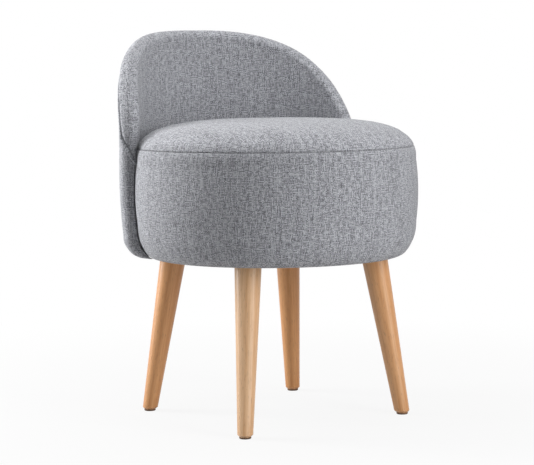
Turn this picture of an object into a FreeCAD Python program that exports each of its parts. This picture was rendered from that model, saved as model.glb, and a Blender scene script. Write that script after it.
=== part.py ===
import FreeCAD, Part
import math
import os

# Low-back upholstered stool: a padded drum seat, a low back round its rear half, four splayed legs.
# Millimetres, +Z up, floor at z = 0, the sitter faces -Y. The origin is the middle of the footprint.

# Cloth and soft fits
COVER = 1.5
SOFT_FIT = 0.3

# Amounts by which cutting shapes reach past what they cut
OVERCUT = 1.0
SPARE_ANGLE = 3.0

# Seat drum, measured over its cover
UNDERSIDE_Z = 239.0
SEAT_RADIUS = 207.4
SIDE_BULGE = 2.8
LOWER_ROUND_WIDTH = 27.0
LOWER_ROUND_HEIGHT = 50.8
SIDE_HEIGHT = 89.2
CROWN_RISE = 62.0
CROWN_FULLNESS = 2.72
SEAM_RISE = 21.0

# Seat frame inside the drum
SIDE_PADDING = 23.4
BASE_BOARD_THICKNESS = 15.0
BASE_BOARD_CHAMFER = 5.0
WALL_THICKNESS = 4.0
RING_THICKNESS = 15.0
RING_WIDTH = 54.0
RING_SET_DOWN = 14.0
POST_SIDE = 28.0
POST_WALL_GAP = 3.0
POST_ANGLES = {
    "rear": 0.0,
    "left_rear": -62.0,
    "right_rear": 62.0,
    "left_front": -155.0,
    "right_front": 155.0,
}
WEBBING_WIDTH = 50.0
WEBBING_THICKNESS = 1.5
WEBBING_PITCH = 75.0
WEBBING_COUNT = 3
WEBBING_EDGE = 6.0

# Underside cloth and its staples
TURN_UNDER = 20.0
DUST_COVER_THICKNESS = 0.8
DUST_COVER_EDGE = 10.0
STAPLE_COUNT = 32
STAPLE_CROWN = 10.0
STAPLE_LEG = 8.0
STAPLE_WIRE = 0.8
STAPLE_INSET = 5.0

# Back, measured over its cover; rises are counted from the top of the seat's side
BACK_BESIDE_SEAT = 22.6
BACK_TOP_DRAW_IN = 1.7
BACK_THICKNESS = 30.0
BACK_HALF_ANGLE = 71.5
BACK_RISE = 196.0
WING_RISE = 21.0
ARCH_WIDTH_POWER = 2.9
ARCH_HEIGHT_POWER = 1.53
RIM_ROUND = 15.0
FACE_CROWN = 1.5
WING_CROWN = 0.4
FACE_LEAN = 1.2
WING_LEAN = 0.4
CROWN_LIMIT = 0.012
RIM_SHARE = 0.55
FOOT_SHARE = 0.35
FOOT_HEIGHT = 46.0
SWELL_START = 39.0
SWELL_END = 99.0
NOSE_LENGTH = 16.0
NOSE_LIFT = 10.0
BACK_GAP = 1.0

# Skirt of the back beside the seat; rises are counted from the seat's underside
SKIRT_TIP_OUT = 15.6
SKIRT_TIP_RISE = 2.5
SKIRT_LOW_DRAW_IN = 4.5
SKIRT_LOW_RISE = 33.0
SKIRT_WIDE_RISE = 106.0
SKIRT_SLACK = 1.3
SKIRT_ROUND_OUT = 6.5
SKIRT_ROUND_DOWN = 5.5

# Bent plywood inside the back
PLY_SET_IN = 16.5
PLY_THICKNESS = 9.0
PLY_EDGE_PAD = 10.0
PLY_FRONT_PAD = 24.0
PLY_BOTTOM_RISE = 37.0
COVER_TAIL = 24.0

# Piping that joins the inner and outer back covers
PIPING_WIDTH = 5.0
PIPING_PROUD = 0.6
PIPING_ROOT = 12.0
PIPING_TOP_DROP = 36.0
PIPING_FOOT_DROP = 1.0
PIPING_POWER = 4.2
PIPING_STEPS = 24

# Bolts that hold the back to the seat posts
BOLT_DIAMETER = 6.0
BOLT_HEAD_DIAMETER = 10.0
BOLT_HEAD_HEIGHT = 6.0
BOLT_HOLE = 6.6
BOLT_ANGLES = (-62.0, 0.0, 62.0)
BOLT_LOW_RISE = 48.5
BOLT_PITCH = 36.0
WASHER_DIAMETER = 18.0
WASHER_THICKNESS = 1.6
TEE_BARREL = 8.0
TEE_FLANGE_DIAMETER = 18.0
TEE_FLANGE_THICKNESS = 1.5
TEE_RECESS = 0.5
TEE_SET_BACK = 1.0

# Legs, feet set in from the seat's side; left is towards -X
LEGS = {"front_left": (-1, -1), "front_right": (1, -1), "rear_left": (-1, 1), "rear_right": (1, 1)}
LEG_FRONT_SIDE_IN = 64.4
LEG_REAR_SIDE_IN = 72.4
LEG_FRONT_END_IN = 89.4
LEG_REAR_END_IN = 62.4
LEG_LEAN = 0.122
LEG_TOP_DIAMETER = 38.5
LEG_FOOT_DIAMETER = 22.0
LEG_FOOT_CHAMFER = 3.0
GLIDE_DIAMETER = 17.0
GLIDE_THICKNESS = 2.5
NAIL_DIAMETER = 2.4
NAIL_LENGTH = 16.0

# Leg fixings
LEG_BLOCK_SIDE = 46.0
LEG_BLOCK_HEIGHT = 25.0
HANGER_DIAMETER = 8.0
HANGER_IN_LEG = 40.0
HANGER_HOLE = 9.0
INSERT_DIAMETER = 12.0
INSERT_LENGTH = 18.0
BLOCK_SCREW_DIAMETER = 4.0
BLOCK_SCREW_LENGTH = 34.0
BLOCK_SCREW_SPREAD = 32.0
POST_SCREW_LENGTH = 45.0
POST_SCREW_OFFSET = 8.0
SCREW_HEAD_DIAMETER = 8.0
SCREW_HEAD_HEIGHT = 2.4

# Heights and places that follow from the sizes above
LOWER_ROUND_Z = UNDERSIDE_Z + LOWER_ROUND_HEIGHT
SIDE_TOP_Z = LOWER_ROUND_Z + SIDE_HEIGHT
SEAT_MAX_RADIUS = SEAT_RADIUS + SIDE_BULGE
ROUND_CENTRE_RADIUS = SEAT_RADIUS - LOWER_ROUND_WIDTH
FRAME_RADIUS = SEAT_RADIUS - SIDE_PADDING
BACK_RADIUS = SEAT_RADIUS + BACK_BESIDE_SEAT
BACK_TOP_RADIUS = BACK_RADIUS - BACK_TOP_DRAW_IN
BACK_FACE_RADIUS = BACK_RADIUS - BACK_THICKNESS
BACK_TOP_Z = SIDE_TOP_Z + BACK_RISE
WING_Z = SIDE_TOP_Z + WING_RISE
SKIRT_TIP_RADIUS = ROUND_CENTRE_RADIUS + SKIRT_TIP_OUT
SKIRT_TIP_Z = UNDERSIDE_Z + SKIRT_TIP_RISE
SKIRT_LOW_RADIUS = BACK_RADIUS - SKIRT_LOW_DRAW_IN
SKIRT_LOW_Z = UNDERSIDE_Z + SKIRT_LOW_RISE
SKIRT_WIDE_Z = UNDERSIDE_Z + SKIRT_WIDE_RISE
SEAT_Y = -(BACK_RADIUS - SEAT_MAX_RADIUS) / 2
BOARD_BOTTOM_Z = UNDERSIDE_Z + COVER
BOARD_TOP_Z = BOARD_BOTTOM_Z + BASE_BOARD_THICKNESS
BOLT_LOW_Z = BOARD_TOP_Z + BOLT_LOW_RISE
RING_TOP_Z = SIDE_TOP_Z - RING_SET_DOWN
RING_BOTTOM_Z = RING_TOP_Z - RING_THICKNESS
WEBBING_TOP_Z = RING_TOP_Z + 2 * WEBBING_THICKNESS
LEG_TOP_Z = UNDERSIDE_Z - DUST_COVER_THICKNESS
POST_RADIUS = FRAME_RADIUS - WALL_THICKNESS - POST_WALL_GAP - POST_SIDE / 2
PLY_INNER_RADIUS = BACK_RADIUS - PLY_SET_IN
PLY_OUTER_RADIUS = PLY_INNER_RADIUS + PLY_THICKNESS
PLY_MIDDLE_RADIUS = PLY_INNER_RADIUS + PLY_THICKNESS / 2
PLY_BOTTOM_Z = UNDERSIDE_Z + PLY_BOTTOM_RISE
PLY_HALF_ANGLE = BACK_HALF_ANGLE - math.degrees(PLY_FRONT_PAD / BACK_RADIUS)
RIM_RADIUS = (BACK_FACE_RADIUS + BACK_RADIUS) / 2
COVER_TAIL_Z = SIDE_TOP_Z - COVER_TAIL
PIPING_TOP_Z = BACK_TOP_Z - PIPING_TOP_DROP
PIPING_FOOT_Z = SIDE_TOP_Z - PIPING_FOOT_DROP
PIPING_ROOT_RADIUS = BACK_RADIUS - PIPING_ROOT
LEG_FRONT_SPREAD = SEAT_RADIUS - LEG_FRONT_SIDE_IN
LEG_REAR_SPREAD = SEAT_RADIUS - LEG_REAR_SIDE_IN
LEG_FRONT_REACH = SEAT_RADIUS - LEG_FRONT_END_IN
LEG_REAR_REACH = SEAT_RADIUS - LEG_REAR_END_IN

UP = FreeCAD.Vector(0, 0, 1)
SEAT_AXIS = FreeCAD.Vector(0, SEAT_Y, 0)

# Where the curved outlines are divided
LOWER_TURNS = [0.0, 30.0, 60.0, 90.0]
SIDE_FOAM_TURNS = [40.0, 65.0, 90.0]
CROWN_LAST_TURN = 89.0
CROWN_SHARES = (0.0, 0.22, 0.55, 1.0)
SLOPE_STEP = 0.05
EDGE_TOLERANCE = 0.01
STATIONS = (0.0, 0.16, 0.32, 0.46, 0.58, 0.68, 0.77, 0.84, 0.895, 0.944, 0.966, 0.981, 0.991, 0.997)


# Points, wires and simple solids
def upright_plane(angle):
    """Gives a function that puts a radius and a height into the upright plane at an angle from the back."""
    sine = math.sin(math.radians(angle))
    cosine = math.cos(math.radians(angle))
    return lambda radius, z: FreeCAD.Vector(radius * sine, SEAT_Y + radius * cosine, z)


def sideways(angle):
    """Level direction round the seat at an angle from the back."""
    return FreeCAD.Vector(math.cos(math.radians(angle)), -math.sin(math.radians(angle)), 0)


def closed_wire(place, start, steps):
    """Joins lines (one point) and arcs (a middle point and an end point) into a closed wire."""
    edges = []
    here = start
    for step in steps + [(start,)]:
        end = step[-1]
        if len(step) == 2:
            edges.append(Part.Arc(place(*here), place(*step[0]), place(*end)).toShape())
        elif math.dist(here, end) > 1e-6:
            edges.append(Part.makeLine(place(*here), place(*end)))
        here = end
    return Part.Wire(edges)


def turned(start, steps, angle=360.0, first_angle=0.0):
    """Turns a closed outline of radii and heights about the seat axis."""
    face = Part.Face(closed_wire(upright_plane(first_angle), start, steps))
    return face.revolve(SEAT_AXIS, UP, -angle)


def sector(inner, outer, low, high, half_angle):
    """Part of a ring about the seat axis, centred on the back."""
    steps = [((outer, low),), ((outer, high),), ((inner, high),)]
    return turned((inner, low), steps, 2 * half_angle, -half_angle)


def ring(inner, outer, low, high):
    """Whole flat ring about the seat axis, or a disc where inner is zero."""
    return turned((inner, low), [((outer, low),), ((outer, high),), ((inner, high),)])


def rod(start, along, diameter, length):
    """Round rod from a point along a direction."""
    return Part.makeCylinder(diameter / 2, length, start, along)


def block(place, width, depth, height, angle=0.0):
    """Upright block centred on a point of its underside, one side facing an angle from the back."""
    solid = Part.makeBox(width, depth, height, FreeCAD.Vector(-width / 2, -depth / 2, 0))
    solid.rotate(FreeCAD.Vector(0, 0, 0), UP, -angle)
    solid.translate(place)
    return solid


def export(name, shape):
    """Writes one sub-part under its node name."""
    if not shape.isValid():
        raise ValueError(name + " is not a valid shape")
    shape.exportStep("parts/" + name + ".step")
    print(name, len(shape.Solids), "solids", round(shape.Volume / 1000, 2), "cm3")


# Seat outline, each function at an inset from the outside of the cover
def lower_round_point(turn, inset):
    """Point of the rounded lower edge, from 0 under the seat to 90 at the side."""
    sine = math.sin(math.radians(turn))
    cosine = math.cos(math.radians(turn))
    radius = ROUND_CENTRE_RADIUS + (LOWER_ROUND_WIDTH - inset) * sine
    return (radius, LOWER_ROUND_Z - (LOWER_ROUND_HEIGHT - inset) * cosine)


def crown_point(turn, inset):
    """Point of the domed top, from 0 at the side to 90 at the middle, moved in square to the surface."""
    power = 2 / CROWN_FULLNESS
    across = math.cos(math.radians(turn)) ** power
    rise = math.sin(math.radians(turn)) ** power
    slope_across = across ** (CROWN_FULLNESS - 1) / SEAT_RADIUS
    slope_rise = rise ** (CROWN_FULLNESS - 1) / CROWN_RISE
    size = math.hypot(slope_across, slope_rise)
    radius = SEAT_RADIUS * across - inset * slope_across / size
    return (radius, SIDE_TOP_Z + CROWN_RISE * rise - inset * slope_rise / size)


def crown_middle(inset):
    """Middle of the domed top, level with the edge of its small flat."""
    return (0.0, crown_point(CROWN_LAST_TURN, inset)[1])


def seam_turn():
    """Turn of the domed top at which the seam lies."""
    return math.degrees(math.asin((SEAM_RISE / CROWN_RISE) ** (CROWN_FULLNESS / 2)))


def curve_steps(point, turns, inset):
    """Arcs through a formula's points, each with a middle point halfway along its turn."""
    pairs = zip(turns[:-1], turns[1:])
    return [(point((first + last) / 2, inset), point(last, inset)) for first, last in pairs]


def side_step(inset, downwards=False):
    """Slightly bulging side of the drum."""
    ends = [(SEAT_RADIUS - inset, LOWER_ROUND_Z), (SEAT_RADIUS - inset, SIDE_TOP_Z)]
    return ((SEAT_MAX_RADIUS - inset, LOWER_ROUND_Z + SIDE_HEIGHT / 2), ends[0 if downwards else 1])


def crown_turns():
    """Turns that divide the domed top between the seam and the small flat at its middle."""
    seam = seam_turn()
    return [seam + share * (CROWN_LAST_TURN - seam) for share in CROWN_SHARES]


# Seat pieces
def seat_base_board():
    edge = BASE_BOARD_CHAMFER
    steps = [((FRAME_RADIUS - edge, BOARD_BOTTOM_Z),), ((FRAME_RADIUS, BOARD_BOTTOM_Z + edge),),
             ((FRAME_RADIUS, BOARD_TOP_Z),), ((0, BOARD_TOP_Z),)]
    board = turned((0, BOARD_BOTTOM_Z), steps)
    return board.cut([hanger_hole(leg) for leg in LEGS] + screw_set(post_screws_low()) + staple_pins()
                     + screw_set(block_screws()))


def seat_wall():
    wall = ring(FRAME_RADIUS - WALL_THICKNESS, FRAME_RADIUS, BOARD_TOP_Z, RING_BOTTOM_Z)
    return wall.cut(bolt_holes())


def seat_top_ring():
    plate = ring(FRAME_RADIUS - RING_WIDTH, FRAME_RADIUS, RING_BOTTOM_Z, RING_TOP_Z)
    return plate.cut(screw_set(post_screws_high()))


def seat_post(angle):
    place = upright_plane(angle)(POST_RADIUS, BOARD_TOP_Z)
    post = block(place, POST_SIDE, POST_SIDE, RING_BOTTOM_Z - BOARD_TOP_Z, angle)
    return post.cut(bolt_holes() + screw_set(post_screws_low()) + screw_set(post_screws_high()))


def webbing(low, along_y):
    """Flat straps across the top ring."""
    straps = []
    reach = FRAME_RADIUS - WEBBING_EDGE
    for index in range(WEBBING_COUNT):
        offset = (index - (WEBBING_COUNT - 1) / 2) * WEBBING_PITCH
        half = math.sqrt(reach ** 2 - (abs(offset) + WEBBING_WIDTH / 2) ** 2)
        if along_y:
            corner = FreeCAD.Vector(offset - WEBBING_WIDTH / 2, SEAT_Y - half, low)
            straps.append(Part.makeBox(WEBBING_WIDTH, 2 * half, WEBBING_THICKNESS, corner))
        else:
            corner = FreeCAD.Vector(-half, SEAT_Y + offset - WEBBING_WIDTH / 2, low)
            straps.append(Part.makeBox(2 * half, WEBBING_WIDTH, WEBBING_THICKNESS, corner))
    return straps


def seat_foam():
    """Domed pad on the webbing, full width above the side padding."""
    inset = COVER + SOFT_FIT
    turns = [0.0] + crown_turns()
    low = WEBBING_TOP_Z
    steps = [((FRAME_RADIUS, low),), ((FRAME_RADIUS, SIDE_TOP_Z),), (crown_point(0.0, inset),)]
    steps += curve_steps(crown_point, turns, inset) + [(crown_middle(inset),)]
    return turned((0, low), steps)


def seat_side_foam():
    """Padding round the frame, rounded under at the foot."""
    inset = COVER + SOFT_FIT
    inner = FRAME_RADIUS + SOFT_FIT
    foot = lower_round_point(SIDE_FOAM_TURNS[0], inset)
    start = (inner, foot[1])
    steps = [(foot,)] + curve_steps(lower_round_point, SIDE_FOAM_TURNS, inset)
    steps += [side_step(inset), ((inner, SIDE_TOP_Z),)]
    return turned(start, steps).cut(bolt_holes())


def seat_top_cover():
    turns = crown_turns()
    back_turns = turns[::-1]
    steps = curve_steps(crown_point, turns, 0.0) + [(crown_middle(0.0),), (crown_middle(COVER),)]
    steps += [(crown_point(turns[-1], COVER),)] + curve_steps(crown_point, back_turns, COVER)
    return turned(crown_point(turns[0], 0.0), steps)


def seat_side_cover():
    """Side band with its top edge at the seam and its foot turned under the base board."""
    seam = seam_turn()
    tail = ROUND_CENTRE_RADIUS - TURN_UNDER
    inner_turns = LOWER_TURNS[::-1]
    steps = [((ROUND_CENTRE_RADIUS, UNDERSIDE_Z),)] + curve_steps(lower_round_point, LOWER_TURNS, 0.0)
    steps += [side_step(0.0)] + curve_steps(crown_point, [0.0, seam], 0.0) + [(crown_point(seam, COVER),)]
    steps += curve_steps(crown_point, [seam, 0.0], COVER) + [side_step(COVER, downwards=True)]
    steps += curve_steps(lower_round_point, inner_turns, COVER) + [((tail, BOARD_BOTTOM_Z),)]
    cover = turned((tail, UNDERSIDE_Z), steps)
    return cover.cut(bolt_holes() + [hanger_hole(leg) for leg in LEGS] + staple_pins())


def dust_cover():
    sheet = ring(0, ROUND_CENTRE_RADIUS - DUST_COVER_EDGE, LEG_TOP_Z, UNDERSIDE_Z)
    return sheet.cut([hanger_hole(leg) for leg in LEGS] + staple_pins())


def staple_places():
    """Angles of the staples round the underside, leaving out those that a leg covers."""
    radius = ROUND_CENTRE_RADIUS - DUST_COVER_EDGE - STAPLE_INSET
    places = []
    for index in range(STAPLE_COUNT):
        angle = 360.0 * index / STAPLE_COUNT
        point = upright_plane(angle)(radius, LEG_TOP_Z)
        clear = min(point.distanceToPoint(leg_axis_point(leg, LEG_TOP_Z)) for leg in LEGS)
        if clear > LEG_TOP_DIAMETER / 2 + STAPLE_CROWN:
            places.append((point, angle))
    return places


def staple_pins():
    """Pins of every staple, which also make their holes."""
    pins = []
    for point, angle in staple_places():
        for side in (-1, 1):
            shift = side * (STAPLE_CROWN - STAPLE_WIRE) / 2
            place = point + sideways(angle) * shift
            pins.append(block(place, STAPLE_WIRE, STAPLE_WIRE, STAPLE_LEG, angle))
    return pins


def bottom_staples():
    """Wire staples through the dust cover and the turned-under cloth into the base board."""
    pins = staple_pins()
    staples = []
    for index, (point, angle) in enumerate(staple_places()):
        crown = block(point - UP * STAPLE_WIRE, STAPLE_CROWN, STAPLE_WIRE, STAPLE_WIRE, angle)
        staples.append(crown.fuse(pins[2 * index:2 * index + 2]).removeSplitter())
    return Part.makeCompound(staples)


# Screws of the frame, each as a point, a direction and a length
def post_screw_place(angle, z):
    """Point of a post's end, off its middle so that the screw passes beside the bolts."""
    return upright_plane(angle)(POST_RADIUS - POST_SCREW_OFFSET, z) + sideways(angle) * POST_SCREW_OFFSET


def post_screws_low():
    """One screw up through the base board into each post."""
    places = [post_screw_place(angle, BOARD_BOTTOM_Z) for angle in POST_ANGLES.values()]
    return [(place, UP, POST_SCREW_LENGTH) for place in places]


def post_screws_high():
    """One screw down through the top ring into each post."""
    places = [post_screw_place(angle, RING_TOP_Z) for angle in POST_ANGLES.values()]
    return [(place, -UP, POST_SCREW_LENGTH) for place in places]


def block_screws():
    """Two screws down through each leg block into the base board."""
    screws = []
    for leg in LEGS:
        middle, angle = leg_block_place(leg)
        for side in (-1, 1):
            top = middle + sideways(angle) * (side * BLOCK_SCREW_SPREAD / 2) + UP * LEG_BLOCK_HEIGHT
            screws.append((top, -UP, BLOCK_SCREW_LENGTH))
    return screws


def screw_set(screws):
    """Countersunk wood screws with their heads flush with the face they enter."""
    solids = []
    for start, along, length in screws:
        wide, narrow = SCREW_HEAD_DIAMETER / 2, BLOCK_SCREW_DIAMETER / 2
        head = Part.makeCone(wide, narrow, SCREW_HEAD_HEIGHT, start, along)
        neck = start + along * SCREW_HEAD_HEIGHT
        shank = rod(neck, along, BLOCK_SCREW_DIAMETER, length - SCREW_HEAD_HEIGHT)
        solids.append(head.fuse(shank).removeSplitter())
    return solids


# Back outline
def arch(share, foot, top, width_power, height_power):
    """Height of an arch at a share of its half width."""
    return foot + (top - foot) * max(1 - min(share, 1.0) ** width_power, 0.0) ** (1 / height_power)


def rim_height(angle, inset):
    """Height of the rim's ridge at an angle from the middle of the back."""
    end = BACK_HALF_ANGLE - math.degrees(inset / BACK_RADIUS)
    return arch(abs(angle) / end, WING_Z, BACK_TOP_Z - inset, ARCH_WIDTH_POWER, ARCH_HEIGHT_POWER)


def rim_slope(angle, inset):
    """Steepness of the ridge along the back's outer face."""
    low = rim_height(abs(angle) + SLOPE_STEP, inset)
    high = rim_height(abs(angle) - SLOPE_STEP, inset)
    return (high - low) / (BACK_RADIUS * math.radians(2 * SLOPE_STEP))


def nose_share(angle, inset):
    """Share of the full thickness that is left at the rounded front edges, 1 away from them."""
    end = BACK_HALF_ANGLE - math.degrees(inset / BACK_RADIUS)
    length = math.degrees(NOSE_LENGTH / BACK_RADIUS)
    past = max(abs(angle) - (end - length), 0.0) / length
    return math.sqrt(max(1 - past ** 2, 0.0))


def smooth_share(value, low, high):
    """Eases from 0 at low to 1 at high."""
    share = min(max((value - low) / (high - low), 0.0), 1.0)
    return share * share * (3 - 2 * share)


def back_section(angle, inset):
    """Closed outline of the padded back in the upright plane at an angle from its middle."""
    nose = nose_share(angle, inset)
    ridge = rim_height(angle, inset)
    height = ridge - SIDE_TOP_Z
    rim = min(RIM_ROUND * math.hypot(1, rim_slope(angle, inset)), RIM_SHARE * height)
    rim_z = ridge - rim
    foot = min(FOOT_HEIGHT, FOOT_SHARE * height)
    foot_z = SIDE_TOP_Z + foot
    swell = smooth_share(height, SWELL_START, SWELL_END)
    gap = BACK_GAP + inset
    near = SEAT_RADIUS + gap
    face = near + (BACK_FACE_RADIUS + inset - near) * swell
    bulge = min(WING_CROWN + (FACE_CROWN - WING_CROWN) * swell, CROWN_LIMIT * (rim_z - foot_z))
    lean = min(WING_LEAN + (FACE_LEAN - WING_LEAN) * swell, 2 * CROWN_LIMIT * foot)
    outer = BACK_RADIUS - inset
    outer_top = BACK_TOP_RADIUS - inset
    diagonal = math.sqrt(0.5)
    lift = (1 - nose) * NOSE_LIFT
    low_z = SKIRT_LOW_Z + lift
    tip = (SKIRT_TIP_RADIUS + inset, SKIRT_TIP_Z + inset + lift)
    tip_turn = math.degrees(math.asin((tip[0] - ROUND_CENTRE_RADIUS) / (LOWER_ROUND_WIDTH + gap)))
    under_radius = (SKIRT_TIP_RADIUS + SKIRT_LOW_RADIUS) / 2 + SKIRT_ROUND_OUT - diagonal * inset
    under_z = (SKIRT_TIP_Z + SKIRT_LOW_Z) / 2 - SKIRT_ROUND_DOWN + diagonal * inset + lift

    def seat_side(turn):
        radius, z = lower_round_point(turn, -gap)
        return (radius, z + lift)

    def squeezed(point):
        return (RIM_RADIUS + nose * (point[0] - RIM_RADIUS), point[1])

    steps = [
        (seat_side((tip_turn + 90) / 2), (near, LOWER_ROUND_Z + lift)),
        ((near + SIDE_BULGE, LOWER_ROUND_Z + SIDE_HEIGHT / 2), (near, SIDE_TOP_Z)),
        ((near - lean, SIDE_TOP_Z + foot / 2), (face + bulge, foot_z)),
        ((face, (foot_z + rim_z) / 2), (face + bulge, rim_z)),
        ((RIM_RADIUS - diagonal * (RIM_RADIUS - face - bulge), rim_z + diagonal * rim), (RIM_RADIUS, ridge)),
        ((RIM_RADIUS + diagonal * (outer_top - RIM_RADIUS), rim_z + diagonal * rim), (outer_top, rim_z)),
        ((outer, SKIRT_WIDE_Z),),
        ((outer - SKIRT_SLACK, (SKIRT_WIDE_Z + low_z) / 2), (SKIRT_LOW_RADIUS - inset, low_z)),
        ((under_radius, under_z), tip),
    ]
    steps = [tuple(squeezed(point) for point in step) for step in steps]
    return closed_wire(upright_plane(angle), squeezed(seat_side(tip_turn)), steps)


def back_form(inset):
    """Whole padded back at an inset from the outside of its cover."""
    end = BACK_HALF_ANGLE - math.degrees(inset / BACK_RADIUS)
    shares = [-share for share in STATIONS[:0:-1]] + list(STATIONS)
    return Part.makeLoft([back_section(share * end, inset) for share in shares], True, False, False, 3)


def under_arch(inset, inner, outer, low):
    """Thick curved slab under the rim's arch at an inset, for trimming the plywood."""
    end = BACK_HALF_ANGLE - math.degrees(inset / BACK_RADIUS)
    wires = []
    for share in [-share for share in STATIONS[:0:-1]] + list(STATIONS):
        top = rim_height(share * end, inset)
        corners = [((outer, low),), ((outer, top),), ((inner, top),)]
        wires.append(closed_wire(upright_plane(share * end), (inner, low), corners))
    return Part.makeLoft(wires, True, False, False, 3)


def piping_height(angle):
    """Height of the piping's middle line on the outer face."""
    share = abs(angle) / BACK_HALF_ANGLE
    return PIPING_FOOT_Z + (PIPING_TOP_Z - PIPING_FOOT_Z) * (1 - share ** PIPING_POWER)


def piping_slope(angle):
    """Steepness of the piping along the back's outer face."""
    share = abs(angle) / BACK_HALF_ANGLE
    drop = (PIPING_TOP_Z - PIPING_FOOT_Z) * PIPING_POWER * share ** (PIPING_POWER - 1)
    return drop / (BACK_RADIUS * math.radians(BACK_HALF_ANGLE))


def beside_piping(angle, shift):
    """Height of a line that runs beside the piping, moved up by shift square to it."""
    return piping_height(angle) + shift * math.hypot(1, piping_slope(angle))


def piping_band(inner, low_line, high_line):
    """Space outside a radius between two lines, each a height for an angle from the middle of the back."""
    end = BACK_HALF_ANGLE + SPARE_ANGLE
    outer = BACK_RADIUS + RIM_ROUND
    wires = []
    for index in range(PIPING_STEPS + 1):
        angle = end * (2 * index / PIPING_STEPS - 1)
        low, high = low_line(angle), high_line(angle)
        corners = [((outer, low),), ((outer, high),), ((inner, high),)]
        wires.append(closed_wire(upright_plane(angle), (inner, low), corners))
    return Part.makeLoft(wires, True, False, False, 3)


def above_piping(shift, inner):
    """Space outside a radius and above a line beside the piping."""
    high = BACK_TOP_Z + 2 * RIM_ROUND
    return piping_band(inner, lambda angle: beside_piping(angle, shift), lambda angle: high)


def inner_cover_space(shift):
    """Space above the piping, with the strip between seat and back that the inner cover's tail fills."""
    inner = BACK_FACE_RADIUS - 2 * RIM_ROUND
    half = BACK_HALF_ANGLE + SPARE_ANGLE / 2
    tail = sector(inner + OVERCUT, PLY_INNER_RADIUS, COVER_TAIL_Z, BACK_TOP_Z + RIM_ROUND, half)
    return above_piping(shift, inner).fuse(tail)


def bare_strip(high):
    """Space beside the plywood's inner face that is left without cloth or foam."""
    return sector(BACK_FACE_RADIUS, PLY_INNER_RADIUS, LOWER_ROUND_Z + BACK_GAP, high, PLY_HALF_ANGLE)


# Back pieces
def plain_ply():
    sheet = sector(PLY_INNER_RADIUS, PLY_OUTER_RADIUS, PLY_BOTTOM_Z, BACK_TOP_Z, PLY_HALF_ANGLE)
    margin = 2 * PLY_THICKNESS
    return sheet.common(under_arch(PLY_EDGE_PAD, PLY_INNER_RADIUS - margin, PLY_OUTER_RADIUS + margin,
                                   PLY_BOTTOM_Z - margin))


def back_shell(ply):
    return ply.cut(tee_barrels())


def back_covers():
    """Inner cover, which turns over the rim, and outer cover, which turns under and round the front edges."""
    bag = back_form(0.0).cut(back_form(COVER))
    inner = bag.common(inner_cover_space(PIPING_WIDTH / 2))
    outer = bag.cut([inner_cover_space(-PIPING_WIDTH / 2), bare_strip(COVER_TAIL_Z + BACK_GAP)])
    return inner, outer


def back_piping():
    """Welt that fills the line between the two covers and stands a little proud of them."""
    bag = back_form(-PIPING_PROUD).cut(back_form(COVER))
    half = PIPING_WIDTH / 2 - SOFT_FIT
    strip = piping_band(PIPING_ROOT_RADIUS, lambda angle: beside_piping(angle, -half),
                        lambda angle: beside_piping(angle, half))
    return bag.common(strip)


def back_foams(ply):
    """Thick pad on the plywood's inner face and padding round its outer face and edges."""
    core = back_form(COVER + SOFT_FIT)
    foot = SIDE_TOP_Z + BACK_GAP
    front = sector(BACK_FACE_RADIUS - RIM_ROUND, PLY_MIDDLE_RADIUS, foot, BACK_TOP_Z + RIM_ROUND,
                   BACK_HALF_ANGLE + SPARE_ANGLE / 2)
    inner = core.common(front).cut(ply)
    outer = core.cut([front, ply, bare_strip(foot + BACK_GAP)]).cut(tee_flanges(TEE_RECESS))
    return inner, outer


def bolt_places():
    """Angle and height of each bolt through the seat posts."""
    return [(angle, BOLT_LOW_Z + row * BOLT_PITCH) for angle in BOLT_ANGLES for row in (0, 1)]


def radial_rod(angle, z, start, end, diameter):
    """Rod that points straight out from the seat axis between two radii."""
    place = upright_plane(angle)
    return rod(place(start, z), place(1, z) - place(0, z), diameter, end - start)


def post_inner_face():
    return POST_RADIUS - POST_SIDE / 2


def bolt_holes():
    """Holes for the bolts from the posts' inner faces to the plywood."""
    start = post_inner_face() - OVERCUT
    return [radial_rod(angle, z, start, PLY_INNER_RADIUS, BOLT_HOLE) for angle, z in bolt_places()]


def back_bolts():
    bolts = []
    seat = post_inner_face() - WASHER_THICKNESS
    for angle, z in bolt_places():
        head = radial_rod(angle, z, seat - BOLT_HEAD_HEIGHT, seat, BOLT_HEAD_DIAMETER)
        shank = radial_rod(angle, z, seat, PLY_OUTER_RADIUS, BOLT_DIAMETER)
        bolts.append(head.fuse(shank).removeSplitter())
    return Part.makeCompound(bolts)


def back_washers():
    face = post_inner_face()
    washers = []
    for angle, z in bolt_places():
        plate = radial_rod(angle, z, face - WASHER_THICKNESS, face, WASHER_DIAMETER)
        hole = radial_rod(angle, z, face - 2 * WASHER_THICKNESS, face + OVERCUT, BOLT_HOLE)
        washers.append(plate.cut(hole))
    return Part.makeCompound(washers)


def tee_barrels():
    """Holes through the plywood for the tee nuts."""
    start = PLY_INNER_RADIUS - OVERCUT
    end = PLY_OUTER_RADIUS + OVERCUT
    return [radial_rod(angle, z, start, end, TEE_BARREL) for angle, z in bolt_places()]


def tee_flanges(extra):
    """Flanges of the tee nuts, thicker and wider by extra for their room in the foam."""
    flanges = []
    for angle, z in bolt_places():
        end = PLY_OUTER_RADIUS + TEE_FLANGE_THICKNESS + extra
        flanges.append(radial_rod(angle, z, PLY_OUTER_RADIUS - extra, end, TEE_FLANGE_DIAMETER + 2 * extra))
    return flanges


def back_tee_nuts():
    nuts = []
    for flange, (angle, z) in zip(tee_flanges(0.0), bolt_places()):
        barrel = radial_rod(angle, z, PLY_INNER_RADIUS + TEE_SET_BACK, PLY_OUTER_RADIUS, TEE_BARREL)
        outside = PLY_OUTER_RADIUS + 2 * TEE_FLANGE_THICKNESS
        bore = radial_rod(angle, z, PLY_INNER_RADIUS, outside, BOLT_DIAMETER)
        nuts.append(barrel.fuse(flange).cut(bore))
    return Part.makeCompound(nuts)


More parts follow.
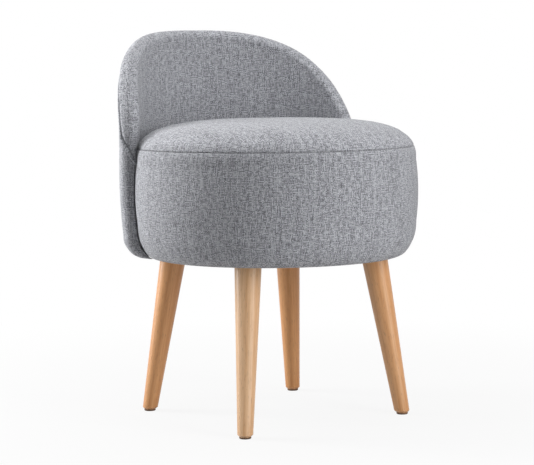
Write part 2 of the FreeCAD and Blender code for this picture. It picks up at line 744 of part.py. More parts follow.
# Legs and their fixings
def leg_direction(leg):
    """Way that a leg's axis leans as it rises, one unit of height long."""
    side, end = LEGS[leg]
    return FreeCAD.Vector(-side * LEG_LEAN, -end * LEG_LEAN, 1)


def leg_axis_point(leg, z):
    """Point of a leg's axis at a height."""
    side, end = LEGS[leg]
    spread = LEG_FRONT_SPREAD if end < 0 else LEG_REAR_SPREAD
    reach = LEG_FRONT_REACH if end < 0 else LEG_REAR_REACH
    return FreeCAD.Vector(side * spread, SEAT_Y + end * reach, 0) + leg_direction(leg) * z


def axis_rod(leg, low, high, diameter):
    """Rod along a leg's axis between two heights."""
    along = leg_direction(leg)
    return rod(leg_axis_point(leg, low), along, diameter, (high - low) * along.Length)


def hanger_hole(leg):
    """Clear hole for the hanger bolt through everything above the leg."""
    return axis_rod(leg, LEG_TOP_Z - HANGER_HOLE, BOARD_TOP_Z + HANGER_HOLE, HANGER_HOLE)


def leg_post(leg):
    """Tapered round leg cut level at both ends, with a chamfered foot."""
    spare = LEG_TOP_DIAMETER / 2
    along = leg_direction(leg)
    taper = (LEG_TOP_DIAMETER - LEG_FOOT_DIAMETER) / 2 / LEG_TOP_Z
    foot = LEG_FOOT_DIAMETER / 2 - taper * spare
    top = LEG_TOP_DIAMETER / 2 + taper * spare
    length = (LEG_TOP_Z + 2 * spare) * along.Length
    cone = Part.makeCone(foot, top, length, leg_axis_point(leg, -spare), along)
    middle = leg_axis_point(leg, LEG_TOP_Z / 2)
    wide = 2 * (LEG_TOP_DIAMETER + LEG_LEAN * LEG_TOP_Z)
    slab = block(FreeCAD.Vector(middle.x, middle.y, GLIDE_THICKNESS), wide, wide, LEG_TOP_Z - GLIDE_THICKNESS)
    post = cone.common(slab)
    foot_edges = [edge for edge in post.Edges if edge.BoundBox.ZMax < GLIDE_THICKNESS + EDGE_TOLERANCE]
    post = post.makeChamfer(LEG_FOOT_CHAMFER, foot_edges)
    return post.cut([hanger_rod(leg), nail(leg)])


def hanger_rod(leg):
    """Hanger bolt from inside the leg to just under the top of its block."""
    high = BOARD_TOP_Z + LEG_BLOCK_HEIGHT - HANGER_DIAMETER / 2
    return axis_rod(leg, LEG_TOP_Z - HANGER_IN_LEG, high, HANGER_DIAMETER)


def leg_insert(leg):
    """Threaded sleeve in the leg block."""
    middle = BOARD_TOP_Z + LEG_BLOCK_HEIGHT / 2
    sleeve = axis_rod(leg, middle - INSERT_LENGTH / 2, middle + INSERT_LENGTH / 2, INSERT_DIAMETER)
    return sleeve.cut(hanger_rod(leg))


def leg_block_place(leg):
    """Middle of a leg block's underside and the angle it faces."""
    point = leg_axis_point(leg, BOARD_TOP_Z + LEG_BLOCK_HEIGHT / 2)
    angle = math.degrees(math.atan2(point.x, point.y - SEAT_Y))
    return FreeCAD.Vector(point.x, point.y, BOARD_TOP_Z), angle


def leg_block(leg):
    """Hardwood block over the base board that takes the leg's thread."""
    place, angle = leg_block_place(leg)
    middle = BOARD_TOP_Z + LEG_BLOCK_HEIGHT / 2
    body = block(place, LEG_BLOCK_SIDE, LEG_BLOCK_SIDE, LEG_BLOCK_HEIGHT, angle)
    room = axis_rod(leg, middle - INSERT_LENGTH / 2, middle + INSERT_LENGTH / 2, INSERT_DIAMETER)
    through = axis_rod(leg, BOARD_BOTTOM_Z, BOARD_TOP_Z + 2 * LEG_BLOCK_HEIGHT, HANGER_HOLE)
    return body.cut([room, through] + screw_set(block_screws()))


def glide(leg):
    """Hard foot glide with a bevelled lower edge and a socket for its nail."""
    point = leg_axis_point(leg, GLIDE_THICKNESS)
    base = FreeCAD.Vector(point.x, point.y, 0)
    disc = rod(base, UP, GLIDE_DIAMETER, GLIDE_THICKNESS)
    low_edges = [edge for edge in disc.Edges if edge.BoundBox.ZMax < EDGE_TOLERANCE]
    return disc.makeChamfer(GLIDE_THICKNESS / 4, low_edges).cut(nail(leg))


def nail(leg):
    """Nail from inside the glide up into the leg."""
    point = leg_axis_point(leg, GLIDE_THICKNESS)
    return rod(FreeCAD.Vector(point.x, point.y, GLIDE_THICKNESS / 2), UP, NAIL_DIAMETER, NAIL_LENGTH)


def write_seat():
    """Seat frame, padding and covers."""
    export("seat_base_board", seat_base_board())
    export("seat_wall", seat_wall())
    export("seat_top_ring", seat_top_ring())
    for name, angle in POST_ANGLES.items():
        export("seat_post_" + name, seat_post(angle))
    export("webbing_lengthwise", Part.makeCompound(webbing(RING_TOP_Z, True)))
    export("webbing_crosswise", Part.makeCompound(webbing(RING_TOP_Z + WEBBING_THICKNESS, False)))
    screws = post_screws_low() + post_screws_high() + block_screws()
    export("frame_screws", Part.makeCompound(screw_set(screws)))
    export("seat_foam", seat_foam())
    export("seat_side_foam", seat_side_foam())
    export("seat_top_cover", seat_top_cover())
    export("seat_side_cover", seat_side_cover())
    export("dust_cover", dust_cover())
    export("bottom_staples", bottom_staples())


def write_back():
    """Plywood, padding, covers and bolts of the back."""
    ply = plain_ply()
    inner_cover, outer_cover = back_covers()
    inner_foam, outer_foam = back_foams(ply)
    export("back_shell", back_shell(ply))
    export("back_inner_foam", inner_foam)
    export("back_outer_foam", outer_foam)
    export("back_inner_cover", inner_cover)
    export("back_outer_cover", outer_cover)
    export("back_piping", back_piping())
    export("back_bolts", back_bolts())
    export("back_washers", back_washers())
    export("back_tee_nuts", back_tee_nuts())


def write_legs():
    """Legs, feet and the fixings that hold the legs to the seat."""
    for leg in LEGS:
        export("leg_" + leg, leg_post(leg))
        export("leg_block_" + leg, leg_block(leg))
        export("foot_glide_" + leg, glide(leg))
    export("hanger_bolts", Part.makeCompound([hanger_rod(leg) for leg in LEGS]))
    export("leg_inserts", Part.makeCompound([leg_insert(leg) for leg in LEGS]))
    export("glide_nails", Part.makeCompound([nail(leg) for leg in LEGS]))


def main():
    os.makedirs("parts", exist_ok=True)
    write_seat()
    write_back()
    write_legs()


if __name__ == "__main__":
    main()
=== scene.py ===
import math

import bmesh
import bpy
from mathutils import Matrix, Vector, noise
from mathutils.bvhtree import BVHTree


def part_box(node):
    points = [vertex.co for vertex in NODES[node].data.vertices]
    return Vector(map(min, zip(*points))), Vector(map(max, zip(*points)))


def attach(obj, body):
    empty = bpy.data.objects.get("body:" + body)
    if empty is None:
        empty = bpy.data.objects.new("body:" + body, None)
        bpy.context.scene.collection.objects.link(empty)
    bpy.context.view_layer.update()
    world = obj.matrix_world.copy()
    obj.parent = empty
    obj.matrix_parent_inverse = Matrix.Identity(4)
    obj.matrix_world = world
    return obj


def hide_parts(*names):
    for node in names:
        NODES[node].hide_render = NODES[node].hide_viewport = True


bl_info = {
    "name": "Low-back upholstered stool",
    "version": (1, 0, 0),
    "blender": (4, 5, 0),
    "location": "View3D > Sidebar > Stool",
    "description": "Pads, piping, seams, finishes and stage of a round padded stool with a low wrapped back",
    "category": "Object",
}

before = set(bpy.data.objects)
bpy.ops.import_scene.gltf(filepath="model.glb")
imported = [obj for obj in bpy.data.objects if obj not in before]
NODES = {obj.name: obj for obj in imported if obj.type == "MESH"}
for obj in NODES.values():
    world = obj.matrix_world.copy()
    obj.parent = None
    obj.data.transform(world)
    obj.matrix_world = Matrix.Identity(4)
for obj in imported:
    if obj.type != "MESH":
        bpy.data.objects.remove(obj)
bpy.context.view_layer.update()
BODY = "root"


# Properties that a user would change
def length(name, description, default):
    """A length in metres."""
    return bpy.props.FloatProperty(name=name, description=description, default=default,
                                   unit="LENGTH", precision=4)


def number(name, description, default):
    """A plain number."""
    return bpy.props.FloatProperty(name=name, description=description, default=default, precision=3)


def degrees(name, description, default):
    """An angle, given in degrees."""
    return bpy.props.FloatProperty(name=name, description=description, default=math.radians(default),
                                   subtype="ANGLE")


def tint(name, description, default):
    """A colour."""
    return bpy.props.FloatVectorProperty(name=name, description=description, default=default,
                                         subtype="COLOR", size=3, min=0.0, max=1.0)


class StoolSeatSizes(bpy.types.PropertyGroup):
    """Round seat, measured over its cover."""

    axis_y: length("Axis", "Place of the seat's axis behind the middle of the footprint", -0.0099)
    underside: length("Underside", "Height of the underside", 0.239)
    radius: length("Radius", "Radius of the side above and below its bulge", 0.2074)
    bulge: length("Bulge", "How far the side swells at half height", 0.0028)
    round_width: length("Lower round width", "Width of the rounded lower edge", 0.027)
    round_height: length("Lower round height", "Height of the rounded lower edge", 0.0508)
    side_height: length("Side height", "Height of the straight part of the side", 0.0892)
    crown_rise: length("Crown rise", "Rise of the domed top above the side", 0.062)
    crown_fullness: number("Crown fullness", "Power of the dome's outline", 3.15)
    seam_rise: length("Seam rise", "Height of the seam above the side", 0.021)
    frame_radius: length("Frame radius", "Radius of the wooden frame inside", 0.184)
    tail: length("Tail", "Cloth turned under the base board", 0.020)
    cover: length("Cover", "Thickness of the cloth", 0.0015)
    swell: length("Swell", "How far the padding swells between its seams", 0.0008)

    @property
    def round_centre(self):
        """Radius at which the lower round starts."""
        return self.radius - self.round_width

    @property
    def round_top(self):
        """Height at which the lower round ends."""
        return self.underside + self.round_height

    @property
    def side_top(self):
        """Height at which the dome starts."""
        return self.round_top + self.side_height


class StoolBackSizes(bpy.types.PropertyGroup):
    """Low back that wraps the seat, measured over its cover."""

    radius: length("Radius", "Outer radius at its widest", 0.230)
    top_radius: length("Top radius", "Outer radius below the rim", 0.2283)
    face_radius: length("Face radius", "Radius of the padded inner face", 0.200)
    half_angle: degrees("Half angle", "Angle from the middle to each front edge", 71.5)
    top: length("Top", "Height of the rim at the middle", 0.575)
    wing: length("Wing", "Height of the rim at the front edges", 0.400)
    width_power: number("Width power", "Power of the rim's arch along its width", 2.9)
    height_power: number("Height power", "Power of the rim's arch along its height", 1.53)
    rim_round: length("Rim round", "Height of the rounded rim", 0.015)
    face_crown: length("Face crown", "Crown of the inner face", 0.0015)
    wing_crown: length("Wing crown", "Crown of the inner face at the wings", 0.0004)
    face_lean: length("Face lean", "Hollow at the foot of the inner face", 0.0012)
    wing_lean: length("Wing lean", "Hollow at the foot of the wings", 0.0004)
    crown_limit: number("Crown limit", "Most crown for each length of a face", 0.012)
    rim_share: number("Rim share", "Most of the height that the rim's round takes", 0.55)
    rim_clear: length("Rim clearance", "Least outer face between the rim's round and the piping", 0.004)
    foot_share: number("Foot share", "Share of the height that the foot of the face takes", 0.35)
    foot_height: length("Foot height", "Most height of the foot of the face", 0.046)
    swell_start: length("Swell start", "Height above the seat where the inner pad starts to thicken", 0.039)
    swell_end: length("Swell end", "Height above the seat where the inner pad is full", 0.099)
    nose_length: length("Nose length", "Length of the rounded front edges", 0.018)
    nose_power: number("Nose power", "Fullness of the rounded front edges", 2.1)
    slant: number("Slant", "Share by which the front edges run back below the wings", 0.049)
    slant_low: length("Slant low", "Height below which the front edges run upright", 0.365)
    slant_high: length("Slant high", "Height above which the front edges run upright", 0.430)
    front_width: length("Front width", "Width of the front edges from the outer face to the seat", 0.022)
    nose_gap: length("Nose gap", "How much further the front edges stand off the seat", 0.0002)
    gap: length("Gap", "Gap between seat and back", 0.0008)
    tip_radius: length("Tip radius", "Radius of the skirt's lower tip", 0.188)
    tip_z: length("Tip height", "Height of the skirt's lower tip", 0.239)
    low_radius: length("Low radius", "Radius of the skirt's lower wall", 0.2255)
    low_z: length("Low height", "Height of the skirt's lower wall", 0.272)
    wide_z: length("Wide height", "Height at which the skirt is widest", 0.345)
    slack: length("Slack", "Hollow of the skirt's wall", 0.0013)
    under_out: length("Under out", "Fullness of the skirt's lower round, outwards", 0.0085)
    under_down: length("Under down", "Fullness of the skirt's lower round, downwards", 0.0094)
    tail_z: length("Tail height", "Height at which the inner cover ends behind the seat", 0.355)
    piping_top_drop: length("Piping drop", "Drop of the piping below the rim's top", 0.036)
    piping_foot: length("Piping foot", "Height of the piping at the front edges", 0.378)
    piping_power: number("Piping power", "Power of the piping's arch", 4.2)
    piping_radius: length("Piping radius", "Radius of the piping", 0.0024)
    piping_depth: length("Piping depth", "Depth of the piping's middle under the skin", 0.0008)
    piping_groove: length("Piping groove", "Width of the groove on each side of the piping", 0.0005)
    shell: length("Shell", "Thickness of the padded skin", 0.004)
    swell: length("Swell", "How far the padding swells between its seams", 0.0010)


class StoolCloth(bpy.types.PropertyGroup):
    """Grey melange cloth in plain weave."""

    pitch: length("Pitch", "Distance between neighbouring yarns", 0.0017)
    pale: tint("Pale yarn", "Colour of the palest yarn", (0.565, 0.575, 0.615))
    dark: tint("Dark yarn", "Colour of the darkest yarn", (0.145, 0.148, 0.162))
    stitch_pitch: length("Stitch pitch", "Distance between stitches", 0.0046)
    stitch_length: length("Stitch length", "Length of a stitch", 0.0030)
    thread: length("Thread", "Thickness of the sewing thread", 0.0009)


class StoolWood(bpy.types.PropertyGroup):
    """Clear lacquered beech."""

    pale: tint("Pale wood", "Colour of the early growth", (0.72, 0.42, 0.215))
    warm: tint("Warm wood", "Colour of the late growth", (0.56, 0.275, 0.112))
    fleck: tint("Flecks", "Colour of the short rays", (0.36, 0.19, 0.10))
    # The same shares also deepen and warm the legs that stand in the seat's shade, as painted shade
    spread: tint("Spread", "Share by which a paler blank differs from these colours", (0.05, 0.17, 0.33))

    def blank_and_shade(self, paleness):
        """Colours of one leg's wood, paler or deeper than the common ones: partly its own tone, and partly
        painted shade.
        """
        shares = [1 + paleness * share for share in self.spread]
        colours = {"Pale": self.pale, "Warm": self.warm, "Fleck": self.fleck}
        return {label: [a * b for a, b in zip(colour, shares)] for label, colour in colours.items()}


class StoolStage(bpy.types.PropertyGroup):
    """Floor, lights and camera."""

    focal_px: number("Focal length", "Focal length in pixels of a picture 534 pixels wide", 1823.78)
    camera_azimuth: degrees("Azimuth", "Turn of the camera round the seat's axis", -36.0)
    camera_distance: length("Distance", "Level distance of the camera from the seat's axis", 2.690)
    camera_height: length("Height", "Height of the camera", 0.52146)
    camera_pitch: degrees("Pitch", "Downward tilt of the camera", 5.298)
    camera_yaw: degrees("Yaw", "Turn of the camera away from the seat's axis", -0.285)
    camera_roll: degrees("Roll", "Roll of the camera", -0.681)
    fill: number("Fill", "Strength of the light from all round", 0.03)
    left_power: number("Left light", "Power of the tall light on the left", 50.0)
    right_power: number("Right light", "Power of the tall light on the right", 29.0)
    top_power: number("Top light", "Power of the light overhead", 27.0)


# Outlines as radius and height, and the steps along each stretch of the back's
SIDE_STEPS = 24
FOOT_STEPS = 12
FACE_STEPS = 20
RIM_STEPS = 12
SKIRT_STEPS = 16
UNDER_STEPS = 14
# Three points count as straight when four times their triangle's area is less than this
STRAIGHT = 1e-10
# Angle to each side over which the slope of the ridge is taken
SLOPE_STEP = math.radians(0.05)
# Power by which the slope of the piping's arch gives way round the front edges
PIPING_EASE = 4


def lower_round_point(seat, turn, inset):
    """Point of the seat's rounded lower edge, from 0 under the seat to 90 at the side."""
    across = seat.round_centre + (seat.round_width - inset) * math.sin(math.radians(turn))
    return (across, seat.round_top - (seat.round_height - inset) * math.cos(math.radians(turn)))


def crown_point(seat, turn, inset):
    """Point of the domed top, from 0 at the side to 90 at the middle, moved in square to the surface."""
    power = 2 / seat.crown_fullness
    across = max(math.cos(math.radians(turn)), 0.0) ** power
    rise = math.sin(math.radians(turn)) ** power
    slope_across = across ** (seat.crown_fullness - 1) / seat.radius
    slope_rise = rise ** (seat.crown_fullness - 1) / seat.crown_rise
    size = math.hypot(slope_across, slope_rise)
    radius = seat.radius * across - inset * slope_across / size
    return (max(radius, 0.0), seat.side_top + seat.crown_rise * rise - inset * slope_rise / size)


def seat_radius(seat, z):
    """Radius of the seat's side at a height below the dome."""
    if z < seat.round_top:
        drop = min((seat.round_top - z) / seat.round_height, 1.0)
        return seat.round_centre + seat.round_width * math.sqrt(1 - drop * drop)
    half = seat.side_height / 2
    rise = min((z - seat.round_top - half) / half, 1.0)
    return seat.radius + seat.bulge * (1 - rise * rise)


def seat_level(seat, point):
    """Level distance of a point from the seat's axis."""
    return math.hypot(point.x, point.y - seat.axis_y)


def seam_turn(seat):
    """Turn of the domed top at which the seam lies."""
    return math.degrees(math.asin((seat.seam_rise / seat.crown_rise) ** (seat.crown_fullness / 2)))


def arc_points(first, middle, last, count):
    """Evenly spaced points on the arc through three points, the first left out."""
    ax, ay = middle[0] - first[0], middle[1] - first[1]
    bx, by = last[0] - first[0], last[1] - first[1]
    cross = 2 * (ax * by - ay * bx)
    if abs(cross) < STRAIGHT:
        return [(first[0] + bx * k / count, first[1] + by * k / count) for k in range(1, count + 1)]
    cx = (by * (ax * ax + ay * ay) - ay * (bx * bx + by * by)) / cross
    cy = (ax * (bx * bx + by * by) - bx * (ax * ax + ay * ay)) / cross
    start = math.atan2(-cy, -cx)
    sweep = math.atan2(by - cy, bx - cx) - start
    if cross > 0:
        sweep %= math.tau
    else:
        sweep = -((-sweep) % math.tau)
    reach = math.hypot(cx, cy)
    middle_at = (first[0] + cx, first[1] + cy)
    turns = [start + sweep * k / count for k in range(1, count + 1)]
    return [(middle_at[0] + reach * math.cos(turn), middle_at[1] + reach * math.sin(turn)) for turn in turns]


def path_lengths(points):
    """Length of a polyline up to each of its points."""
    lengths = [0.0]
    for here, there in zip(points[:-1], points[1:]):
        lengths.append(lengths[-1] + math.dist(here, there))
    return lengths


def resampled(points, count):
    """Same polyline as a number of evenly spaced points."""
    lengths = path_lengths(points)
    spaced = []
    index = 0
    for k in range(count):
        distance = lengths[-1] * k / (count - 1)
        while index < len(points) - 2 and lengths[index + 1] < distance:
            index += 1
        span = lengths[index + 1] - lengths[index]
        share = (distance - lengths[index]) / span if span > 0 else 0.0
        spaced.append(tuple(a + (b - a) * share for a, b in zip(points[index], points[index + 1])))
    return spaced


def evenly(points, spacing):
    """Same polyline in even steps of about the spacing."""
    return resampled(points, max(1, round(path_lengths(points)[-1] / spacing)) + 1)


def rim_height(back, angle, inset):
    """Height of the rim's ridge at an angle from the middle of the back."""
    end = back.half_angle - inset / back.radius
    share = min(abs(angle) / end, 1.0)
    arch = (1 - share ** back.width_power) ** (1 / back.height_power)
    return back.wing + (back.top - inset - back.wing) * arch


def rim_slope(back, angle, inset):
    """Steepness of the ridge along the outer face."""
    low = rim_height(back, abs(angle) + SLOPE_STEP, inset)
    high = rim_height(back, abs(angle) - SLOPE_STEP, inset)
    return (high - low) / (back.radius * 2 * SLOPE_STEP)


def piping_line(back, angle, nose):
    """Height and steepness of the piping: an arch on the outer face, then an even run to the seat."""
    plain = back.half_angle - back.nose_length / back.radius
    share = min(abs(angle), plain) / back.half_angle
    rise = back.top - back.piping_top_drop - back.piping_foot
    height = rise * (1 - share ** back.piping_power)
    arch_slope = rise * back.piping_power * share ** (back.piping_power - 1) / (back.radius * back.half_angle)
    turn = math.acos(min(nose, 1.0))
    left = (nose + 1 - turn / (math.pi / 2)) / 2
    edge_slope = height * (math.sin(turn) + 2 / math.pi) / (back.nose_length + back.front_width)
    return back.piping_foot + left * height, edge_slope + (arch_slope - edge_slope) * nose ** PIPING_EASE


def nose_share(back, angle, inset):
    """Share of the back's thickness at an angle, from all on the plain part to none at the front edges."""
    end = back.half_angle - inset / back.radius
    past = max(abs(angle) - end, -back.nose_length / back.radius) * back.radius / back.nose_length + 1
    return max(1 - past ** back.nose_power, 0.0) ** (1 / back.nose_power)


def smooth_share(value, low, high):
    """Eases from 0 at low to 1 at high."""
    share = min(max((value - low) / (high - low), 0.0), 1.0)
    return share * share * (3 - 2 * share)


class BackSection:
    """Outline of the padded back at an angle, as named stretches of radius and height."""

    def __init__(self, seat, back, angle, nose, inset):
        self.seat = seat
        self.nose = nose
        centre = (back.face_radius + back.radius) / 2
        ridge = rim_height(back, angle, inset)
        height = ridge - seat.side_top
        self.piping_z, slope = piping_line(back, angle, nose)
        groove = (back.piping_radius + back.piping_groove) * math.hypot(1, slope)
        self.above = self.piping_z + groove
        self.below = self.piping_z - groove
        rim = min(back.rim_round * math.hypot(1, rim_slope(back, angle, inset)), back.rim_share * height)
        rim = min(rim, ridge - self.above - back.rim_clear)
        rim_z = ridge - rim
        foot = min(back.foot_height, back.foot_share * height)
        foot_z = seat.side_top + foot
        swell = smooth_share(height, back.swell_start, back.swell_end)
        gap = back.gap + max(inset - back.swell, 0.0)
        self.stand_off = gap + back.nose_gap
        near = seat.radius + gap
        face = near + (back.face_radius + inset - near) * swell
        crown = back.wing_crown + (back.face_crown - back.wing_crown) * swell
        bulge = min(crown, back.crown_limit * (rim_z - foot_z))
        lean = min(back.wing_lean + (back.face_lean - back.wing_lean) * swell, 2 * back.crown_limit * foot)
        diagonal = math.sqrt(0.5)
        tip = (back.tip_radius + inset, back.tip_z + inset)
        tip_turn = math.degrees(math.asin((tip[0] - seat.round_centre) / (seat.round_width + gap)))
        under = ((back.tip_radius + back.low_radius) / 2 + back.under_out - diagonal * inset,
                 (back.tip_z + back.low_z) / 2 - back.under_down + diagonal * inset)
        wall_top = (back.top_radius - inset, rim_z)
        wall_foot = (back.radius - inset, back.wide_z)
        low = (back.low_radius - inset, back.low_z)
        knee = (face + bulge, foot_z)
        brow = (face + bulge, rim_z)
        crest = (centre, ridge)
        root = (near, seat.round_top)
        shelf = (near, seat.side_top)
        mid_round = lower_round_point(seat, (tip_turn + 90) / 2, -gap)
        hem = lower_round_point(seat, tip_turn, -gap)
        rim_in = (centre - diagonal * (centre - face - bulge), rim_z + diagonal * rim)
        rim_out = (centre + diagonal * (wall_top[0] - centre), rim_z + diagonal * rim)
        middle_side = (near + seat.bulge, seat.round_top + seat.side_height / 2)
        hollow = (back.radius - inset - back.slack, (back.wide_z + back.low_z) / 2)
        self.side = [root] + arc_points(root, middle_side, shelf, SIDE_STEPS)
        self.face = [shelf] + arc_points(shelf, (near - lean, seat.side_top + foot / 2), knee, FOOT_STEPS)
        self.face += arc_points(knee, (face, (foot_z + rim_z) / 2), brow, FACE_STEPS)
        self.rim = arc_points(brow, rim_in, crest, RIM_STEPS)
        self.rim += arc_points(crest, rim_out, wall_top, RIM_STEPS)
        self.wall_top = wall_top
        self.wall_foot = wall_foot
        self.skirt = arc_points(wall_foot, hollow, low, SKIRT_STEPS)
        self.skirt += arc_points(low, under, tip, UNDER_STEPS)
        self.inside = [hem] + arc_points(hem, mid_round, root, UNDER_STEPS)

    def wall_radius(self, z):
        """Radius of the straight outer wall at a height."""
        share = (z - self.wall_top[1]) / (self.wall_foot[1] - self.wall_top[1])
        return self.wall_top[0] + (self.wall_foot[0] - self.wall_top[0]) * share

    def lip(self, z, way, depth):
        """Rolled edge of a cover on the outer wall, which starts at a height and runs up or down from it."""
        steps = [(z + way * shift, deep) for shift, deep in round_edge(PIPING_EDGE, depth)]
        return [(self.wall_radius(height), height, deep) for height, deep in steps]

    def squeezed(self, points):
        """Points drawn in to the seat at the front edges, where their depth turns to lie behind the edge."""
        drawn = []
        for radius, z, depth in points:
            beside = seat_radius(self.seat, z) + self.stand_off
            drawn.append((beside + self.nose * (radius - depth - beside), z, depth * (1 - self.nose)))
        return drawn


# Meshes
EDGE_STEPS = 4
MERGE_DISTANCE = 1e-6


def placed(seat, angle, radius, z):
    """Point at an angle from the back, a radius from the seat's axis and a height."""
    return Vector((radius * math.sin(angle), seat.axis_y + radius * math.cos(angle), z))


def slanted(back, angle, z):
    """Angle of a point of the back at a height, drawn back below the wings."""
    return angle * (1 - back.slant * (1 - smooth_share(z, back.slant_low, back.slant_high)))


def laid(seat, back, angle, point):
    """Place of a section's point of a radius, a height and a depth behind the front edge."""
    radius, z, depth = point
    behind = angle - math.copysign(depth / back.radius, angle)
    return placed(seat, slanted(back, behind, z), radius, z)


def new_object(name, mesh):
    """Links a mesh under a name, in place of what an earlier run made."""
    old = bpy.data.objects.get(name)
    if old is not None:
        bpy.data.objects.remove(old)
    made = bpy.data.objects.new(name, mesh)
    bpy.context.scene.collection.objects.link(made)
    return made


def skinned(rows, wraps, cap_ends=False):
    """Points and faces of a surface through rows of points, each a closed loop; the rows may close too."""
    width = len(rows[0])
    points = [point for row in rows for point in row]
    faces = []
    for i in range(len(rows) if wraps else len(rows) - 1):
        here = i * width
        there = (i + 1) % len(rows) * width
        for j in range(width):
            after = (j + 1) % width
            faces.append((here + j, here + after, there + after, there + j))
    if cap_ends:
        last = (len(rows) - 1) * width
        for j in range(width // 2 - 1):
            mirror = width - 1 - j
            faces.append((j, mirror, mirror - 1, j + 1))
            faces.append((last + j, last + j + 1, last + mirror - 1, last + mirror))
    return points, faces


def cloth_spot(seat, point, normal, first_turn):
    """Cloth coordinates of a point on a face that looks out, up or along, where the cloth lies flat."""
    across = point.x
    depth = point.y - seat.axis_y
    level = seat_level(seat, point)
    looks_out = abs(normal.x * across + normal.y * depth)
    looks_along = abs(normal.x * depth - normal.y * across)
    if looks_out >= max(looks_along, abs(normal.z) * level):
        turn = (math.atan2(across, depth) - first_turn) % math.tau
        return (turn * seat.radius, point.z)
    if abs(normal.z) * level >= looks_along:
        return (across, depth)
    return (level, point.z)


def closed_mesh(name, points, faces, seat, first_turn=0.0):
    """Smooth mesh with merged doubles, faces outwards and a cloth map in metres that starts at a turn."""
    mesh = bpy.data.meshes.new(name)
    mesh.from_pydata(points, [], faces)
    tidy = bmesh.new()
    tidy.from_mesh(mesh)
    bmesh.ops.remove_doubles(tidy, verts=tidy.verts, dist=MERGE_DISTANCE)
    bmesh.ops.recalc_face_normals(tidy, faces=tidy.faces)
    tidy.to_mesh(mesh)
    tidy.free()
    mesh.shade_smooth()
    layer = mesh.uv_layers.new(name="cloth")
    around = math.tau * seat.radius
    places = [vertex.co.copy() for vertex in mesh.vertices]
    for polygon in mesh.polygons:
        normal = polygon.normal.copy()
        spots = [cloth_spot(seat, places[index], normal, first_turn) for index in polygon.vertices]
        high = max(u for u, v in spots)
        for k, (u, v) in zip(polygon.loop_indices, spots):
            layer.data[k].uv = (u + around if high - u > around / 2 else u, v)
    return mesh


def round_edge(edge, inward):
    """Steps of a rolled cloth edge: how far along the cloth and how deep."""
    turns = [math.radians(90 * (k + 1) / EDGE_STEPS) for k in range(EDGE_STEPS)]
    return [(edge * (1 - math.sin(turn)), edge * (1 - math.cos(turn))) for turn in turns] + [(0.0, inward)]


def turned(seat, outline, count):
    """Surface made by turning a closed outline about the seat's axis, starting behind the back."""
    angles = [math.tau * k / count for k in range(count)]
    return skinned([[placed(seat, angle, radius, z) for radius, z in outline] for angle in angles], True)


def finished(piece, material, nodes):
    """Gives a piece its material and body, and hides the nodes that it stands for."""
    piece.data.materials.clear()
    piece.data.materials.append(material)
    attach(piece, BODY)
    if nodes:
        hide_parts(*nodes)
    return piece


# Swelling of the padding, worked out by a cloth simulation on a plain copy
SWELL_FRAMES = 20
SWELL_VOXEL = 0.006
SWELL_STIFFNESS = 0.12
SWELL_DAMPING = 25.0
SWELL_SETTINGS = {
    "quality": 5,
    "mass": 0.3,
    "tension_stiffness": SWELL_STIFFNESS,
    "compression_stiffness": SWELL_STIFFNESS,
    "shear_stiffness": SWELL_STIFFNESS / 3,
    "bending_stiffness": SWELL_STIFFNESS / 30,
    "tension_damping": SWELL_DAMPING,
    "compression_damping": SWELL_DAMPING,
    "shear_damping": SWELL_DAMPING,
    "air_damping": SWELL_DAMPING / 5,
    "use_pressure": True,
    "uniform_pressure_force": 8.0,
    "vertex_group_mass": "held",
}
# Reach of a seam that holds the padding down, and over which the padding rises from it
SEAM_HOLD = 0.006
SEAM_EASE = 0.010
# Distance below which a corner of the skin counts no more for a point beside it
NEAREST = 1e-5
# How far hand-laid padding wanders in and out
WANDER_REACH = 0.0007


def swell_field(name, points, faces, held, reach):
    """Outward moves that air pressure gives a closed skin held at some points, none longer than reach."""
    scene = bpy.context.scene
    mesh = bpy.data.meshes.new(name)
    mesh.from_pydata(points, [], faces)
    skin = new_object(name, mesh)
    remesh = skin.modifiers.new("even skin", "REMESH")
    remesh.mode = "VOXEL"
    remesh.voxel_size = SWELL_VOXEL
    even = plain_mesh(skin)
    rest = [vertex.co.copy() for vertex in even.vertices]
    outwards = [vertex.normal.copy() for vertex in even.vertices]
    group = skin.vertex_groups.new(name="held")
    for index, point in enumerate(rest):
        group.add([index], 1.0 if held(point) else 0.0, "REPLACE")
    cloth = skin.modifiers.new("cloth", "CLOTH")
    for setting, value in SWELL_SETTINGS.items():
        setattr(cloth.settings, setting, value)
    cloth.settings.effector_weights.gravity = 0
    cloth.point_cache.frame_start = 1
    cloth.point_cache.frame_end = SWELL_FRAMES
    for step in range(1, SWELL_FRAMES + 1):
        scene.frame_set(step)
    graph = bpy.context.evaluated_depsgraph_get()
    moved = [vertex.co.copy() for vertex in skin.evaluated_get(graph).data.vertices]
    scene.frame_set(1)
    moves = []
    for before, after, way in zip(rest, moved, outwards):
        moves.append(way * min(max((after - before).dot(way), 0.0), reach))
    polygons = [tuple(polygon.vertices) for polygon in even.polygons]
    tree = BVHTree.FromPolygons(rest, polygons)
    bpy.data.objects.remove(skin)
    return tree, rest, polygons, moves


def plain_mesh(piece):
    """Turns what a piece's modifiers make of it into its own mesh."""
    graph = bpy.context.evaluated_depsgraph_get()
    made = bpy.data.meshes.new_from_object(piece.evaluated_get(graph))
    piece.modifiers.clear()
    piece.data = made
    return made


